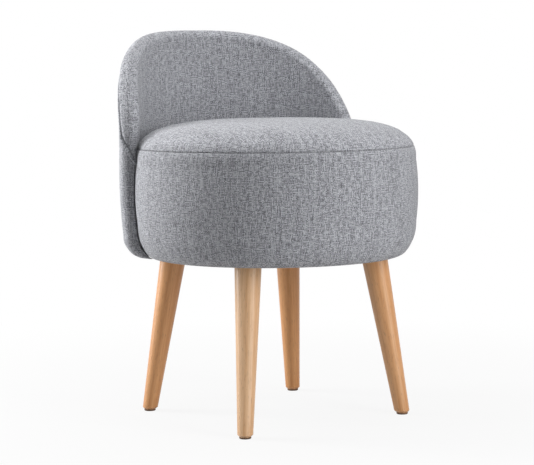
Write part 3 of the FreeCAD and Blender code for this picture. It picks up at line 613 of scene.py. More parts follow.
def soften(mesh, field, free, wander_size):
    """Moves a pad's points by the swelling beside them and lets them wander, each by its own share."""
    if field is not None:
        tree, rest, polygons, moves = field
        for vertex in mesh.vertices:
            share = free(vertex.co)
            if share <= 0:
                continue
            _, _, index, _ = tree.find_nearest(vertex.co)
            weights = [(1 / (NEAREST + (rest[k] - vertex.co).length), moves[k]) for k in polygons[index]]
            total = sum(weight for weight, _ in weights)
            vertex.co += share * sum((move * weight for weight, move in weights), Vector()) / total
        mesh.update()
    ways = [vertex.normal.copy() for vertex in mesh.vertices]
    for vertex, way in zip(mesh.vertices, ways):
        vertex.co += way * (noise.noise(vertex.co / wander_size) * WANDER_REACH * free(vertex.co))
    mesh.update()


# Nodes of shaders and of geometry trees
def feed(tree, socket, value):
    """Links a socket to another one, or sets its own number, colour or vector."""
    if isinstance(value, bpy.types.NodeSocket):
        tree.links.new(value, socket)
    elif socket.type == "RGBA":
        socket.default_value = (*value[:3], 1.0)
    else:
        socket.default_value = value


def node(tree, kind, inputs=None, **settings):
    """Adds a node with its settings and what its inputs take."""
    made = tree.nodes.new(kind)
    for name, value in settings.items():
        setattr(made, name, value)
    for name, value in (inputs or {}).items():
        feed(tree, made.inputs[name], value)
    return made


def math_node(tree, operation, *values):
    """Result of a math node on sockets or plain numbers."""
    return node(tree, "ShaderNodeMath", dict(enumerate(values)), operation=operation).outputs[0]


def mix_value(tree, share, first, second):
    """Mixes two values or sockets by a share."""
    inputs = {0: share, 2: first, 3: second}
    return node(tree, "ShaderNodeMix", inputs, data_type="FLOAT").outputs[0]


def mix_colour(tree, share, first, second, blend="MIX"):
    """Mixes two colours or sockets by a share."""
    inputs = {0: share, 6: first, 7: second}
    return node(tree, "ShaderNodeMix", inputs, data_type="RGBA", blend_type=blend).outputs[2]


def scaled_vector(tree, vector, scale, offset=(0.0, 0.0, 0.0)):
    """Stretches coordinates by three factors and moves them."""
    inputs = {"Vector": vector, "Scale": scale, "Location": offset}
    return node(tree, "ShaderNodeMapping", inputs).outputs[0]


def noise_value(tree, vector, scale=1.0, detail=2.0, roughness=0.5):
    """Noise between about 0.25 and 0.75."""
    inputs = {"Vector": vector, "Scale": scale, "Detail": detail, "Roughness": roughness}
    return node(tree, "ShaderNodeTexNoise", inputs).outputs["Fac"]


def ramped(tree, value, low, high, new_low=0.0, new_high=1.0):
    """Maps a range of values to another and stops at its ends."""
    inputs = {"Value": value, "From Min": low, "From Max": high, "To Min": new_low, "To Max": new_high}
    return node(tree, "ShaderNodeMapRange", inputs, interpolation_type="SMOOTHSTEP").outputs["Result"]


def object_place(tree):
    """Place of a surface point in the object's own coordinates."""
    return node(tree, "ShaderNodeTexCoord").outputs["Object"]


# Shader groups: each puts out colour, height and roughness
def woven(tree, source):
    """Plain weave of melange yarns, on cloth coordinates counted in yarns."""
    yarns = source["Yarns"]
    checks = scaled_vector(tree, yarns, (1, 1, 0), (0, 0, 0.5))
    over = node(tree, "ShaderNodeTexChecker", {"Scale": 1.0, "Vector": checks}).outputs["Fac"]
    bulges = []
    for axis in node(tree, "ShaderNodeSeparateXYZ", {0: yarns}).outputs[:2]:
        wave = math_node(tree, "SINE", math_node(tree, "MULTIPLY", axis, math.pi))
        bulges.append(math_node(tree, "ABSOLUTE", wave))
    height = mix_value(tree, over, bulges[1], bulges[0])
    # A yarn's tone changes slowly along it and quickly across it
    warp_tone = noise_value(tree, scaled_vector(tree, yarns, (1.0, 0.19, 1)), roughness=0.6)
    weft_tone = noise_value(tree, scaled_vector(tree, yarns, (0.25, 1.0, 1), (31, 17, 5)), roughness=0.6)
    slub = noise_value(tree, scaled_vector(tree, yarns, (0.34, 0.016, 1), (7, 3, 2)))
    fibre = noise_value(tree, scaled_vector(tree, yarns, (1.7, 1.7, 1), (3, 9, 4)), roughness=0.6)
    tone = mix_value(tree, over, weft_tone, warp_tone)
    tone = mix_value(tree, 0.14, tone, slub)
    tone = mix_value(tree, 0.20, tone, fibre)
    tone = ramped(tree, tone, 0.38, 0.62)
    colour = mix_colour(tree, tone, source["Dark"], source["Pale"])
    # Painted shade: the colour is darker between the yarns, where shade falls
    shade = ramped(tree, height, 0.0, 0.75, 0.5, 1.0)
    grey = node(tree, "ShaderNodeCombineColor", {0: shade, 1: shade, 2: shade}).outputs[0]
    colour = mix_colour(tree, 1.0, colour, grey, "MULTIPLY")
    return colour, height, ramped(tree, tone, 0.0, 1.0, 0.93, 0.8)


def figured(tree, source):
    """Lengthwise wood figure, on coordinates whose third axis runs along the grain."""
    grain = source["Grain"]
    band = noise_value(tree, scaled_vector(tree, grain, (75, 75, 2.2)), 1.0, 3.0, 0.55)
    streak = noise_value(tree, scaled_vector(tree, grain, (420, 420, 7), (3, 5, 1)), 1.0, 3.0, 0.6)
    rays = noise_value(tree, scaled_vector(tree, grain, (900, 900, 95), (11, 2, 6)), 1.0, 1.0)
    share = ramped(tree, mix_value(tree, 0.45, band, streak), 0.34, 0.66)
    colour = mix_colour(tree, share, source["Pale"], source["Warm"])
    flecks = ramped(tree, rays, 0.62, 0.72, 0.0, 0.55)
    colour = mix_colour(tree, flecks, colour, source["Fleck"])
    height = mix_value(tree, 0.5, streak, math_node(tree, "SUBTRACT", 1.0, flecks))
    return colour, height, ramped(tree, streak, 0.3, 0.7, 0.38, 0.52)


def mottled(tree, source):
    """Fine speckle over two colours, for boards, felt, plastic and metal."""
    fine = noise_value(tree, source["Place"], 700.0, 3.0, 0.6)
    broad = noise_value(tree, source["Place"], 45.0)
    share = ramped(tree, mix_value(tree, 0.4, fine, broad), 0.32, 0.68)
    colour = mix_colour(tree, share, source["First"], source["Second"])
    return colour, fine, ramped(tree, share, 0.0, 1.0, 0.75, 0.55)


# What each group is built by, where its pattern lies, and its bump's distance and strength
EFFECTS = {
    "melange weave": (woven, "Yarns", 0.0004, 0.55),
    "wood figure": (figured, "Grain", 0.0002, 0.12),
    "fine mottle": (mottled, "Place", 0.0002, 0.2),
}


def effect_group(name, colour_labels):
    """Shader group of an effect, built the first time that it is asked for."""
    if name in bpy.data.node_groups:
        return bpy.data.node_groups[name]
    build, place_label, _, _ = EFFECTS[name]
    tree = bpy.data.node_groups.new(name, "ShaderNodeTree")
    tree.interface.new_socket(place_label, in_out="INPUT", socket_type="NodeSocketVector")
    for label in colour_labels:
        tree.interface.new_socket(label, in_out="INPUT", socket_type="NodeSocketColor")
    for label, kind in (("Color", "Color"), ("Height", "Float"), ("Roughness", "Float")):
        tree.interface.new_socket(label, in_out="OUTPUT", socket_type="NodeSocket" + kind)
    results = build(tree, node(tree, "NodeGroupInput").outputs)
    node(tree, "NodeGroupOutput", dict(zip(("Color", "Height", "Roughness"), results)))
    return tree


def new_material(name, effect_name, colours, finish):
    """Material with one effect on a Principled shader, and the effect's input for the place."""
    old = bpy.data.materials.get(name)
    if old is not None:
        bpy.data.materials.remove(old)
    material = bpy.data.materials.new(name)
    material.use_nodes = True
    tree = material.node_tree
    _, place_label, distance, strength = EFFECTS[effect_name]
    effect = node(tree, "ShaderNodeGroup", colours, node_tree=effect_group(effect_name, colours))
    height = {"Height": effect.outputs["Height"], "Distance": distance, "Strength": strength}
    shader = tree.nodes["Principled BSDF"]
    feed(tree, shader.inputs["Base Color"], effect.outputs["Color"])
    feed(tree, shader.inputs["Roughness"], effect.outputs["Roughness"])
    feed(tree, shader.inputs["Normal"], node(tree, "ShaderNodeBump", height).outputs["Normal"])
    for label, value in finish.items():
        feed(tree, shader.inputs[label], value)
    return material, tree, effect.inputs[place_label]


def cloth_material(name, cloth, on_map=True):
    """Melange cloth, on the piece's own cloth map or, for piping, on its place."""
    colours = {"Pale": cloth.pale, "Dark": cloth.dark}
    finish = {"Specular IOR Level": 0.2, "Sheen Weight": 0.18, "Sheen Roughness": 0.5}
    material, tree, yarns = new_material(name, "melange weave", colours, finish)
    if on_map:
        place = node(tree, "ShaderNodeUVMap", uv_map="cloth").outputs[0]
    else:
        place = object_place(tree)
    count = 1 / cloth.pitch
    feed(tree, yarns, scaled_vector(tree, place, (count, count, count)))
    return material


def wood_material(name, colours, foot, direction):
    """Lacquered wood whose figure runs along a direction from a foot."""
    finish = {"Coat Weight": 0.15, "Coat Roughness": 0.3}
    material, tree, grain = new_material(name, "wood figure", colours, finish)
    turn = direction.rotation_difference(Vector((0, 0, 1))).to_matrix()
    inputs = {"Vector": object_place(tree), "Rotation": turn.to_euler("XYZ"), "Location": -(turn @ foot)}
    feed(tree, grain, node(tree, "ShaderNodeMapping", inputs).outputs[0])
    return material


def board_material(name, first, second, metallic=0.0):
    """Raw board, felt, plastic, thread or plated metal with a fine mottle."""
    colours = {"First": first, "Second": second}
    material, tree, place = new_material(name, "fine mottle", colours, {"Metallic": metallic})
    feed(tree, place, object_place(tree))
    return material


# Geometry trees for what follows a path
BEAD_SIDES = 14
STITCH_SHAPE = {"Segments": 6, "Rings": 5, "Radius": 0.5}


def path_tree(name, values):
    """Geometry tree that takes in a path mesh, some values and a material, with the path as a curve."""
    tree = bpy.data.node_groups.new(name, "GeometryNodeTree")
    sockets = [("Geometry", "Geometry")] + [(label, "Float") for label in values] + [("Material", "Material")]
    for label, kind in sockets:
        tree.interface.new_socket(label, in_out="INPUT", socket_type="NodeSocket" + kind)
    tree.interface.new_socket("Geometry", in_out="OUTPUT", socket_type="NodeSocketGeometry")
    source = node(tree, "NodeGroupInput").outputs
    return tree, source, node(tree, "GeometryNodeMeshToCurve", {0: source["Geometry"]}).outputs[0]


def end_tree(tree, source, geometry):
    """Ends a tree with real geometry, smooth faces and a material."""
    real = node(tree, "GeometryNodeRealizeInstances", {0: geometry})
    smooth = node(tree, "GeometryNodeSetShadeSmooth", {0: real.outputs[0]})
    inputs = {"Geometry": smooth.outputs[0], "Material": source["Material"]}
    node(tree, "NodeGroupOutput", {0: node(tree, "GeometryNodeSetMaterial", inputs).outputs[0]})
    return tree


def stitch_tree():
    """Row of thread stitches along a path."""
    tree, source, curve = path_tree("stitch row", ("Pitch", "Length", "Thread"))
    steps = node(tree, "GeometryNodeResampleCurve", mode="LENGTH")
    feed(tree, steps.inputs["Curve"], curve)
    feed(tree, steps.inputs["Length"], source["Pitch"])
    bead = node(tree, "GeometryNodeMeshUVSphere", STITCH_SHAPE)
    size = node(tree, "ShaderNodeCombineXYZ", {0: source["Thread"], 1: source["Thread"], 2: source["Length"]})
    tangent = node(tree, "GeometryNodeInputTangent").outputs[0]
    align = node(tree, "FunctionNodeAlignRotationToVector", {"Vector": tangent}, axis="Z")
    inputs = {"Points": steps.outputs[0], "Instance": bead.outputs["Mesh"],
              "Rotation": align.outputs[0], "Scale": size.outputs[0]}
    return end_tree(tree, source, node(tree, "GeometryNodeInstanceOnPoints", inputs).outputs[0])


def bead_tree():
    """Round bead along a path."""
    tree, source, curve = path_tree("piping bead", ("Radius",))
    inputs = {"Resolution": BEAD_SIDES, "Radius": source["Radius"]}
    ring = node(tree, "GeometryNodeCurvePrimitiveCircle", inputs)
    inputs = {"Curve": curve, "Profile Curve": ring.outputs[0], "Fill Caps": True}
    return end_tree(tree, source, node(tree, "GeometryNodeCurveToMesh", inputs).outputs[0])


def grown(name, tree, paths, values):
    """Plain mesh that a geometry tree grows along paths, each a list of points and whether it closes."""
    points = []
    edges = []
    for path, closes in paths:
        first = len(points)
        points += path
        edges += [(first + k, first + k + 1) for k in range(len(path) - 1)]
        if closes:
            edges.append((first + len(path) - 1, first))
    mesh = bpy.data.meshes.new(name + "_path")
    mesh.from_pydata(points, edges, [])
    piece = new_object(name, mesh)
    modifier = piece.modifiers.new("grow", "NODES")
    modifier.node_group = tree
    for item in tree.interface.items_tree:
        if item.in_out == "INPUT" and item.name in values:
            modifier[item.identifier] = values[item.name]
    plain_mesh(piece).name = name
    return piece


# Seat pieces: steps round the pads and along their outlines, and how far apart these are drawn in the end
SEAT_STEPS = 384
DOME_STEPS = 90
ROUND_STEPS = 16
BULGE_STEPS = 30
SHOULDER_STEPS = 8
SEAT_SPACING = 0.0032
# Steps round the plain skin and along its outline
SKIN_STEPS = 160
SKIN_ROUND_STEPS = 12
SKIN_BULGE_STEPS = 16
SKIN_DOME_STEPS = 40
# Rolled edges at the seam: radius, depth, and the share of the radius by which they stand apart
SEAM_EDGE = 0.0016
SEAM_DEPTH = 0.0042
SEAM_OPENING = 0.12
STITCH_DEPTH = 0.0012
# Room between one layer and the next, and how much more of it the top pad leaves over the side pad
LAYER_CLEAR = 0.0003
UNDER_CLEAR = 0.0012
# Depth of the top pad below the foot of the dome, and a ring of points on its flat underside
TOP_PAD_DEPTH = 0.0095
TOP_PAD_MIDDLE = 0.12
# Heights above the underside: of the foot of the side pad's inside, and up to which the padding is held
SIDE_PAD_RISE = 0.014
UNDERSIDE_HOLD = 0.012
# Size of the slow waves in the padding
SEAT_WANDER = 0.055
# Margins of what shows of the top pad and of the side pad
TOP_MARGIN = 0.001
SIDE_MARGIN = 0.008


def seat_side(seat, inset, start, count):
    """Bulged side of the seat, from the end of its lower round up to the dome."""
    middle = (seat.radius + seat.bulge - inset, seat.round_top + seat.side_height / 2)
    return arc_points(start, middle, (seat.radius - inset, seat.side_top), count)


def near_seam(seat, point):
    """Distance from a point to the seat's seam."""
    radius, z = crown_point(seat, seam_turn(seat), seat.swell)
    return math.hypot(seat_level(seat, point) - radius, point.z - z)


def seat_swelling(seat):
    """Swelling of the seat's padding, held at the seam and under the seat."""
    def held(point):
        return point.z < seat.underside + UNDERSIDE_HOLD or near_seam(seat, point) < SEAM_HOLD
    outline = [(0.0, seat.underside)]
    turns = [90 * k / SKIN_ROUND_STEPS for k in range(SKIN_ROUND_STEPS + 1)]
    outline += [lower_round_point(seat, turn, seat.swell) for turn in turns]
    outline += seat_side(seat, seat.swell, outline[-1], SKIN_BULGE_STEPS)
    turns = [90 * k / SKIN_DOME_STEPS for k in range(1, SKIN_DOME_STEPS + 1)]
    outline += [crown_point(seat, turn, seat.swell) for turn in turns]
    points, faces = turned(seat, outline, SKIN_STEPS)
    return swell_field("seat_swelling", points, faces, held, seat.swell)


def padded_piece(name, mesh, cloth, nodes):
    """Pad in melange cloth that stands for its cover and its foam."""
    piece = new_object(name, mesh)
    finished(piece, cloth_material(name.replace("_", " ") + " cloth", cloth), nodes)


class STOOL_OT_seat(bpy.types.Operator):
    """Domed top pad and side pad of the seat, with a rolled seam between them"""

    bl_idname = "stool.seat"
    bl_label = "Seat pads"

    def execute(self, context):
        seat = context.scene.stool_seat
        cloth = context.scene.stool_cloth
        field = seat_swelling(seat)

        def on_top(point):
            return point.z > seat.side_top + seat.seam_rise - TOP_MARGIN

        def on_side(point):
            return seat_level(seat, point) > seat.frame_radius + SIDE_MARGIN
        top = self.softened("seat_top_pad", seat, self.top_outline(seat), field, on_top)
        padded_piece("seat_top_pad", top, cloth, ("seat_top_cover", "seat_foam"))
        side = self.softened("seat_side_pad", seat, self.side_outline(seat), field, on_side)
        padded_piece("seat_side_pad", side, cloth, ("seat_side_cover", "seat_side_foam"))
        return {"FINISHED"}

    def top_outline(self, seat):
        """Outline of the top pad: over the dome, round its edge at the seam and under the foam."""
        inset = seat.swell
        turn = seam_turn(seat)
        turns = [turn + (90.0 - turn) * k / DOME_STEPS for k in range(DOME_STEPS + 1)]
        dome = evenly([crown_point(seat, place, inset) for place in turns], SEAT_SPACING)
        floor = seat.side_top - TOP_PAD_DEPTH
        deep = seat.cover + inset + LAYER_CLEAR + UNDER_CLEAR
        under = [crown_point(seat, turn * share, deep) for share in (0.9, 0.5, 0.1)]
        under += [(seat.frame_radius, seat.side_top), (seat.frame_radius, floor)]
        under += [(TOP_PAD_MIDDLE, floor), (0.0, floor)]
        return dome[::-1][:-1] + self.rolled(seat, 1.0) + under

    def side_outline(self, seat):
        """Outline of the side pad: up its outside, round its edge at the seam and down beside the frame."""
        inset = seat.swell
        turn = seam_turn(seat)
        tail = seat.round_centre - seat.tail
        outer = [(tail, seat.underside), (seat.round_centre, seat.underside)]
        steps = [(90 * k / ROUND_STEPS, inset * k / ROUND_STEPS) for k in range(ROUND_STEPS + 1)]
        outer += [lower_round_point(seat, *step) for step in steps]
        outer += seat_side(seat, inset, outer[-1], BULGE_STEPS)
        steps = [turn * k / SHOULDER_STEPS for k in range(1, SHOULDER_STEPS + 1)]
        outer += [crown_point(seat, step, inset) for step in steps]
        wall = seat.frame_radius + LAYER_CLEAR
        inner = [crown_point(seat, turn * share, seat.cover + inset) for share in (0.8, 0.4, 0.0)]
        inner += [(wall, seat.side_top), (wall, seat.underside + SIDE_PAD_RISE)]
        inner += [lower_round_point(seat, place, seat.cover + inset) for place in (30, 10, 0)]
        inner += [(tail, seat.underside + seat.cover)]
        return evenly(outer[:-1], SEAT_SPACING) + self.rolled(seat, -1.0) + inner

    def rolled(self, seat, way):
        """Rolled cloth edge at the seam, seen from above (way 1) or below (way -1)."""
        turn = seam_turn(seat)
        span = math.degrees(SEAM_EDGE / seat.crown_rise)
        steps = []
        for shift, depth in round_edge(SEAM_EDGE, SEAM_DEPTH):
            place = turn + way * span * (shift / SEAM_EDGE + SEAM_OPENING)
            steps.append(crown_point(seat, place, seat.swell + depth))
        return steps

    def softened(self, name, seat, outline, field, shown):
        """Mesh turned from an outline, swollen on the side that shows."""
        points, faces = turned(seat, outline, SEAT_STEPS)
        mesh = closed_mesh(name, points, faces, seat)

        def free(point):
            return min(1.0, near_seam(seat, point) / SEAM_EASE) if shown(point) else 0.0
        soften(mesh, field, free, SEAT_WANDER)
        return mesh


# Back pieces: sections along the plain part and round each front edge
PLAIN_STATIONS = 150
NOSE_STATIONS = 14
# Radius of the covers' rolled edges beside the piping
PIPING_EDGE = 0.0018
# Room between the ends of the two covers behind the seat
TAIL_CLEAR = 0.002
# Size of the slow waves in the padding
BACK_WANDER = 0.06
# Points along each stretch of the covers
FACE_POINTS = 62
RIM_POINTS = 26
BROW_POINTS = 12
WALL_POINTS = 44
SKIRT_POINTS = 44
INSIDE_POINTS = 30
# Room beside the seat at which the padding starts to swell and at which it swells freely
ROOM_START = 0.003
ROOM_FULL = 0.012
# Distance given to the points that the piping can't reach
FAR = 1.0


def back_stations(back, inset):
    """Angle and nose share of each section, close together round the front edges."""
    nose = back.nose_length / back.radius
    plain = back.half_angle - inset / back.radius - nose
    stations = [(plain * (2 * k / PLAIN_STATIONS - 1), 1.0) for k in range(PLAIN_STATIONS + 1)]
    turns = [math.radians(90 * k / NOSE_STATIONS) for k in range(1, NOSE_STATIONS + 1)]
    angles = [plain + nose * math.sin(turn) for turn in turns]
    ends = [(angle, nose_share(back, angle, inset)) for angle in angles]
    return [(-angle, share) for angle, share in ends[::-1]] + stations + ends


def at_skin(points):
    """Points of radius and height with no depth under the skin."""
    return [point + (0.0,) for point in points]


def inner_stretch(section, back, lipped):
    """Inner cover's outline from its tail behind the seat, over the rim and down to the piping."""
    stop = section.above + PIPING_EDGE
    tail = [point for point in section.side if point[1] > back.tail_z]
    wall = [section.rim[-1], (section.wall_radius(stop), stop)]
    body = resampled(tail[:-1] + section.face, FACE_POINTS)
    body += resampled(section.rim, RIM_POINTS)
    body = at_skin(body + resampled(wall, BROW_POINTS)[1:])
    lip = section.lip(section.above, 1, back.shell)
    return section.squeezed(body + (lip if lipped else [body[-1]] * len(lip)))


def outer_stretch(section, back, lipped):
    """Outer cover's outline from the piping down the wall, under the skirt and up beside the seat."""
    start = section.below - PIPING_EDGE
    wall = [(section.wall_radius(start), start), section.wall_foot]
    side = [point for point in section.side if point[1] < back.tail_z - TAIL_CLEAR]
    body = resampled(wall, WALL_POINTS)
    body += resampled([wall[-1]] + section.skirt, SKIRT_POINTS)[1:]
    body = at_skin(body + resampled(section.inside[:-1] + side, INSIDE_POINTS))
    lip = section.lip(section.below, -1, back.shell)
    return section.squeezed((lip[::-1] if lipped else [body[0]] * len(lip)) + body)


def near_piping(seat, back, point):
    """Distance from a point to the piping line."""
    angle = math.atan2(point.x, point.y - seat.axis_y)
    if seat_level(seat, point) < seat.radius + back.gap + back.piping_radius:
        return FAR
    if angle:
        angle *= angle / slanted(back, angle, point.z)
    height, slope = piping_line(back, angle, nose_share(back, angle, back.swell))
    return abs(point.z - height) / math.hypot(1, slope)


def seat_room(seat, point):
    """Share of the swelling that has room, from none in the narrow gap beside the seat to all in the open."""
    outside = smooth_share(seat_level(seat, point) - seat_radius(seat, point.z), ROOM_START, ROOM_FULL)
    return max(outside, smooth_share(point.z - seat.side_top, 0.0, ROOM_FULL))


def back_swelling(seat, back):
    """Swelling of the back's padding, held at the piping and beside the seat."""
    def held(point):
        return seat_room(seat, point) == 0 or near_piping(seat, back, point) < SEAM_HOLD
    rows = []
    for angle, nose in back_stations(back, back.swell)[1:-1]:
        section = BackSection(seat, back, angle, nose, back.swell)
        loop = section.inside[:-1] + section.side[:-1] + section.face + section.rim
        loop += [section.wall_foot] + section.skirt[:-1]
        rows.append([laid(seat, back, angle, point) for point in section.squeezed(at_skin(loop))])
    points, faces = skinned(rows, False)
    width = len(rows[0])
    faces.append(tuple(range(width)))
    faces.append(tuple(range(len(points) - 1, len(points) - 1 - width, -1)))
    return swell_field("back_swelling", points, faces, held, back.swell)


class STOOL_OT_back(bpy.types.Operator):
    """Inner and outer pads of the back, which meet at the piping"""

    bl_idname = "stool.back"
    bl_label = "Back pads"

    def execute(self, context):
        seat = context.scene.stool_seat
        back = context.scene.stool_back
        field = back_swelling(seat, back)
        for side, stretch in (("inner", inner_stretch), ("outer", outer_stretch)):
            name = "back_" + side + "_pad"
            mesh = self.softened(name, seat, back, stretch, field)
            nodes = ("back_" + side + "_cover", "back_" + side + "_foam")
            padded_piece(name, mesh, context.scene.stool_cloth, nodes)
        return {"FINISHED"}

    def softened(self, name, seat, back, stretch, field):
        """Swollen padded skin between an outer and an inner surface."""
        deep = back.swell + back.shell
        shown = self.surface(seat, back, stretch, back.swell, True)
        hidden = self.surface(seat, back, stretch, deep, False)
        points, faces = skinned([skin + lining[::-1] for skin, lining in zip(shown, hidden)], False, True)
        mesh = closed_mesh(name, points, faces, seat, math.pi)

        def free(point):
            off_piping = max(near_piping(seat, back, point) - back.piping_radius, 0.0)
            return min(1.0, off_piping / SEAM_EASE) * seat_room(seat, point)
        soften(mesh, field, free, BACK_WANDER)
        return mesh

    def surface(self, seat, back, stretch, inset, lipped):
        """Rows of points of one surface of a pad, with or without the rolled edge at the piping."""
        rows = []
        for angle, nose in back_stations(back, inset):
            section = BackSection(seat, back, angle, nose, inset)
            rows.append([laid(seat, back, angle, point) for point in stretch(section, back, lipped)])
        return rows


def piping_path(seat, back, depth):
    """Line of the piping at a depth along the outer face and round both front edges to the seat."""
    line = []
    for angle, nose in back_stations(back, back.swell):
        section = BackSection(seat, back, angle, nose, 0.0)
        middle = (section.wall_radius(section.piping_z), section.piping_z, depth)
        line.append(laid(seat, back, angle, section.squeezed([middle])[0]))
    return line


class STOOL_OT_piping(bpy.types.Operator):
    """Piping between the two covers of the back, with its sewn edge behind it"""

    bl_idname = "stool.piping"
    bl_label = "Piping"

    def execute(self, context):
        seat = context.scene.stool_seat
        back = context.scene.stool_back
        material = cloth_material("piping cloth", context.scene.stool_cloth, False)
        values = {"Radius": back.piping_radius, "Material": material}
        bead = piping_path(seat, back, back.piping_depth)
        sewn_edge = piping_path(seat, back, back.piping_depth + back.piping_radius)
        piece = grown("back_piping_bead", bead_tree(), [(bead, False), (sewn_edge, False)], values)
        finished(piece, material, ("back_piping",))
        return {"FINISHED"}


# Trim, legs and frame
class STOOL_OT_stitches(bpy.types.Operator):
    """Stitches along the seat's seam"""

    bl_idname = "stool.stitches"
    bl_label = "Stitches"

    def execute(self, context):
        seat = context.scene.stool_seat
        cloth = context.scene.stool_cloth
        radius, z = crown_point(seat, seam_turn(seat), seat.swell + STITCH_DEPTH)
        ring = [placed(seat, math.tau * k / SEAT_STEPS, radius, z) for k in range(SEAT_STEPS)]
        thread = board_material("sewing thread", (0.17, 0.172, 0.185), (0.27, 0.273, 0.29))
        values = {"Pitch": cloth.stitch_pitch, "Length": cloth.stitch_length,
                  "Thread": cloth.thread, "Material": thread}
        piece = grown("seat_seam_stitches", stitch_tree(), [(ring, True)], values)
        finished(piece, thread, ())
        return {"FINISHED"}


class STOOL_OT_dust_cover(bpy.types.Operator):
    """Felt sheet stretched under the seat, which dimples a little at random"""

    bl_idname = "stool.dust_cover"
    bl_label = "Dust cover"
    turns = 144
    rings = 24
    dimple = 0.0003
    dimple_size = 0.03

    def execute(self, context):
        seat = context.scene.stool_seat
        low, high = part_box("dust_cover")
        radius = (high.x - low.x) / 2
        outline = [(radius * j / self.rings, high.z) for j in range(self.rings + 1)]
        outline += [(radius * j / self.rings, low.z) for j in range(self.rings, -1, -1)]
        points, faces = turned(seat, outline, self.turns)
        mesh = closed_mesh("dust_cover_sheet", points, faces, seat)
        for vertex in mesh.vertices:
            if vertex.co.z < (low.z + high.z) / 2:
                vertex.co.z += self.dimple * (1 + noise.noise(vertex.co / self.dimple_size))
        felt = board_material("dust cover felt", (0.018, 0.018, 0.02), (0.05, 0.05, 0.054))
        piece = new_object("dust_cover_sheet", mesh)
        finished(piece, felt, ("dust_cover",))
        return {"FINISHED"}


def paint(node_name, material):
    """Gives a CAD node its material."""
    mesh = NODES[node_name].data
    mesh.materials.clear()
    mesh.materials.append(material)


# How much paler than the common colours each leg is: partly each leg's own wood tone, and partly painted
# shade that makes the legs under the seat deeper and more orange
LEG_TONE_AND_SHADE = {"front_left": 1.1, "front_right": -0.5, "rear_left": -1.0, "rear_right": -1.2}


class STOOL_OT_legs(bpy.types.Operator):
    """Wood and glides of the four legs"""

    bl_idname = "stool.legs"
    bl_label = "Legs"

    def execute(self, context):
        wood = context.scene.stool_wood
        plastic = board_material("glide plastic", (0.10, 0.055, 0.03), (0.16, 0.09, 0.05))
        for name, paleness in LEG_TONE_AND_SHADE.items():
            glide_low, glide_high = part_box("foot_glide_" + name)
            foot = (glide_low + glide_high) / 2
            corners = [vertex.co for vertex in NODES["leg_block_" + name].data.vertices]
            top = sum(corners, Vector()) / len(corners)
            label = "beech " + name.replace("_", " ")
            # Each leg's colours hold painted shade as well as its own wood tone
            material = wood_material(label, wood.blank_and_shade(paleness), foot, (top - foot).normalized())
            paint("leg_" + name, material)
            paint("foot_glide_" + name, plastic)
        return {"FINISHED"}


# Finish of the frame, fixings and underside: two colours, metal or not, and how the nodes' names start
FRAME_FINISHES = {
    "plywood": ((0.72, 0.58, 0.40), (0.60, 0.45, 0.28), 0.0,
                ("seat_base_board", "seat_top_ring", "back_shell")),
    "softwood": ((0.78, 0.64, 0.44), (0.68, 0.50, 0.30), 0.0, ("seat_post_", "leg_block_")),
    "hardboard": ((0.38, 0.26, 0.17), (0.30, 0.20, 0.12), 0.0, ("seat_wall",)),
    "webbing": ((0.10, 0.10, 0.11), (0.20, 0.20, 0.21), 0.0, ("webbing_",)),
    "plated steel": ((0.62, 0.62, 0.60), (0.50, 0.50, 0.49), 1.0,
                     ("frame_screws", "bottom_staples", "back_bolts", "back_washers", "back_tee_nuts",
                      "hanger_bolts", "leg_inserts", "glide_nails")),
}


class STOOL_OT_frame(bpy.types.Operator):
    """Finishes of the frame, fixings and underside"""

    bl_idname = "stool.frame"
    bl_label = "Frame and underside"

    def execute(self, context):
        for label, (first, second, metallic, starts) in FRAME_FINISHES.items():
            material = board_material(label, first, second, metallic)
            for name in NODES:
                if name.startswith(starts):
                    paint(name, material)
        return {"FINISHED"}


# Stage
PICTURE_WIDTH = 534
SENSOR_WIDTH = 36.0
AIM_HEIGHT = 0.33
FLOOR_REACH = 12.0
# Scale of the floor's dapple and its two greys
DAPPLE_SCALE = 0.6
DAPPLE_DARK = (0.48, 0.48, 0.48)
DAPPLE_PALE = (0.52, 0.52, 0.52)
# Distances from the middle between which the floor turns white, and its share of white at the object
WHITE_NEAR = 0.3
WHITE_FAR = 1.1
WHITE_SHARE = 0.9
# Each light's name, power, place to the right of, beyond and above the seat's foot, and width and height
LIGHTS = (
    ("left light", "left_power", (-1.67, 0.33, 1.0), (0.7, 1.7)),
    ("right light", "right_power", (1.36, -1.12, 0.9), (0.7, 1.7)),
    ("top light", "top_power", (0.0, 0.1, 2.1), (1.5, 1.5)),
)


def seen_share(tree):
    """One for the rays that see the backdrop, straight or in gloss and glass, and none for the others."""
    path = node(tree, "ShaderNodeLightPath").outputs
    mirrored = math_node(tree, "MAXIMUM", path["Is Glossy Ray"], path["Is Transmission Ray"])
    return math_node(tree, "MAXIMUM", path["Is Camera Ray"], mirrored)


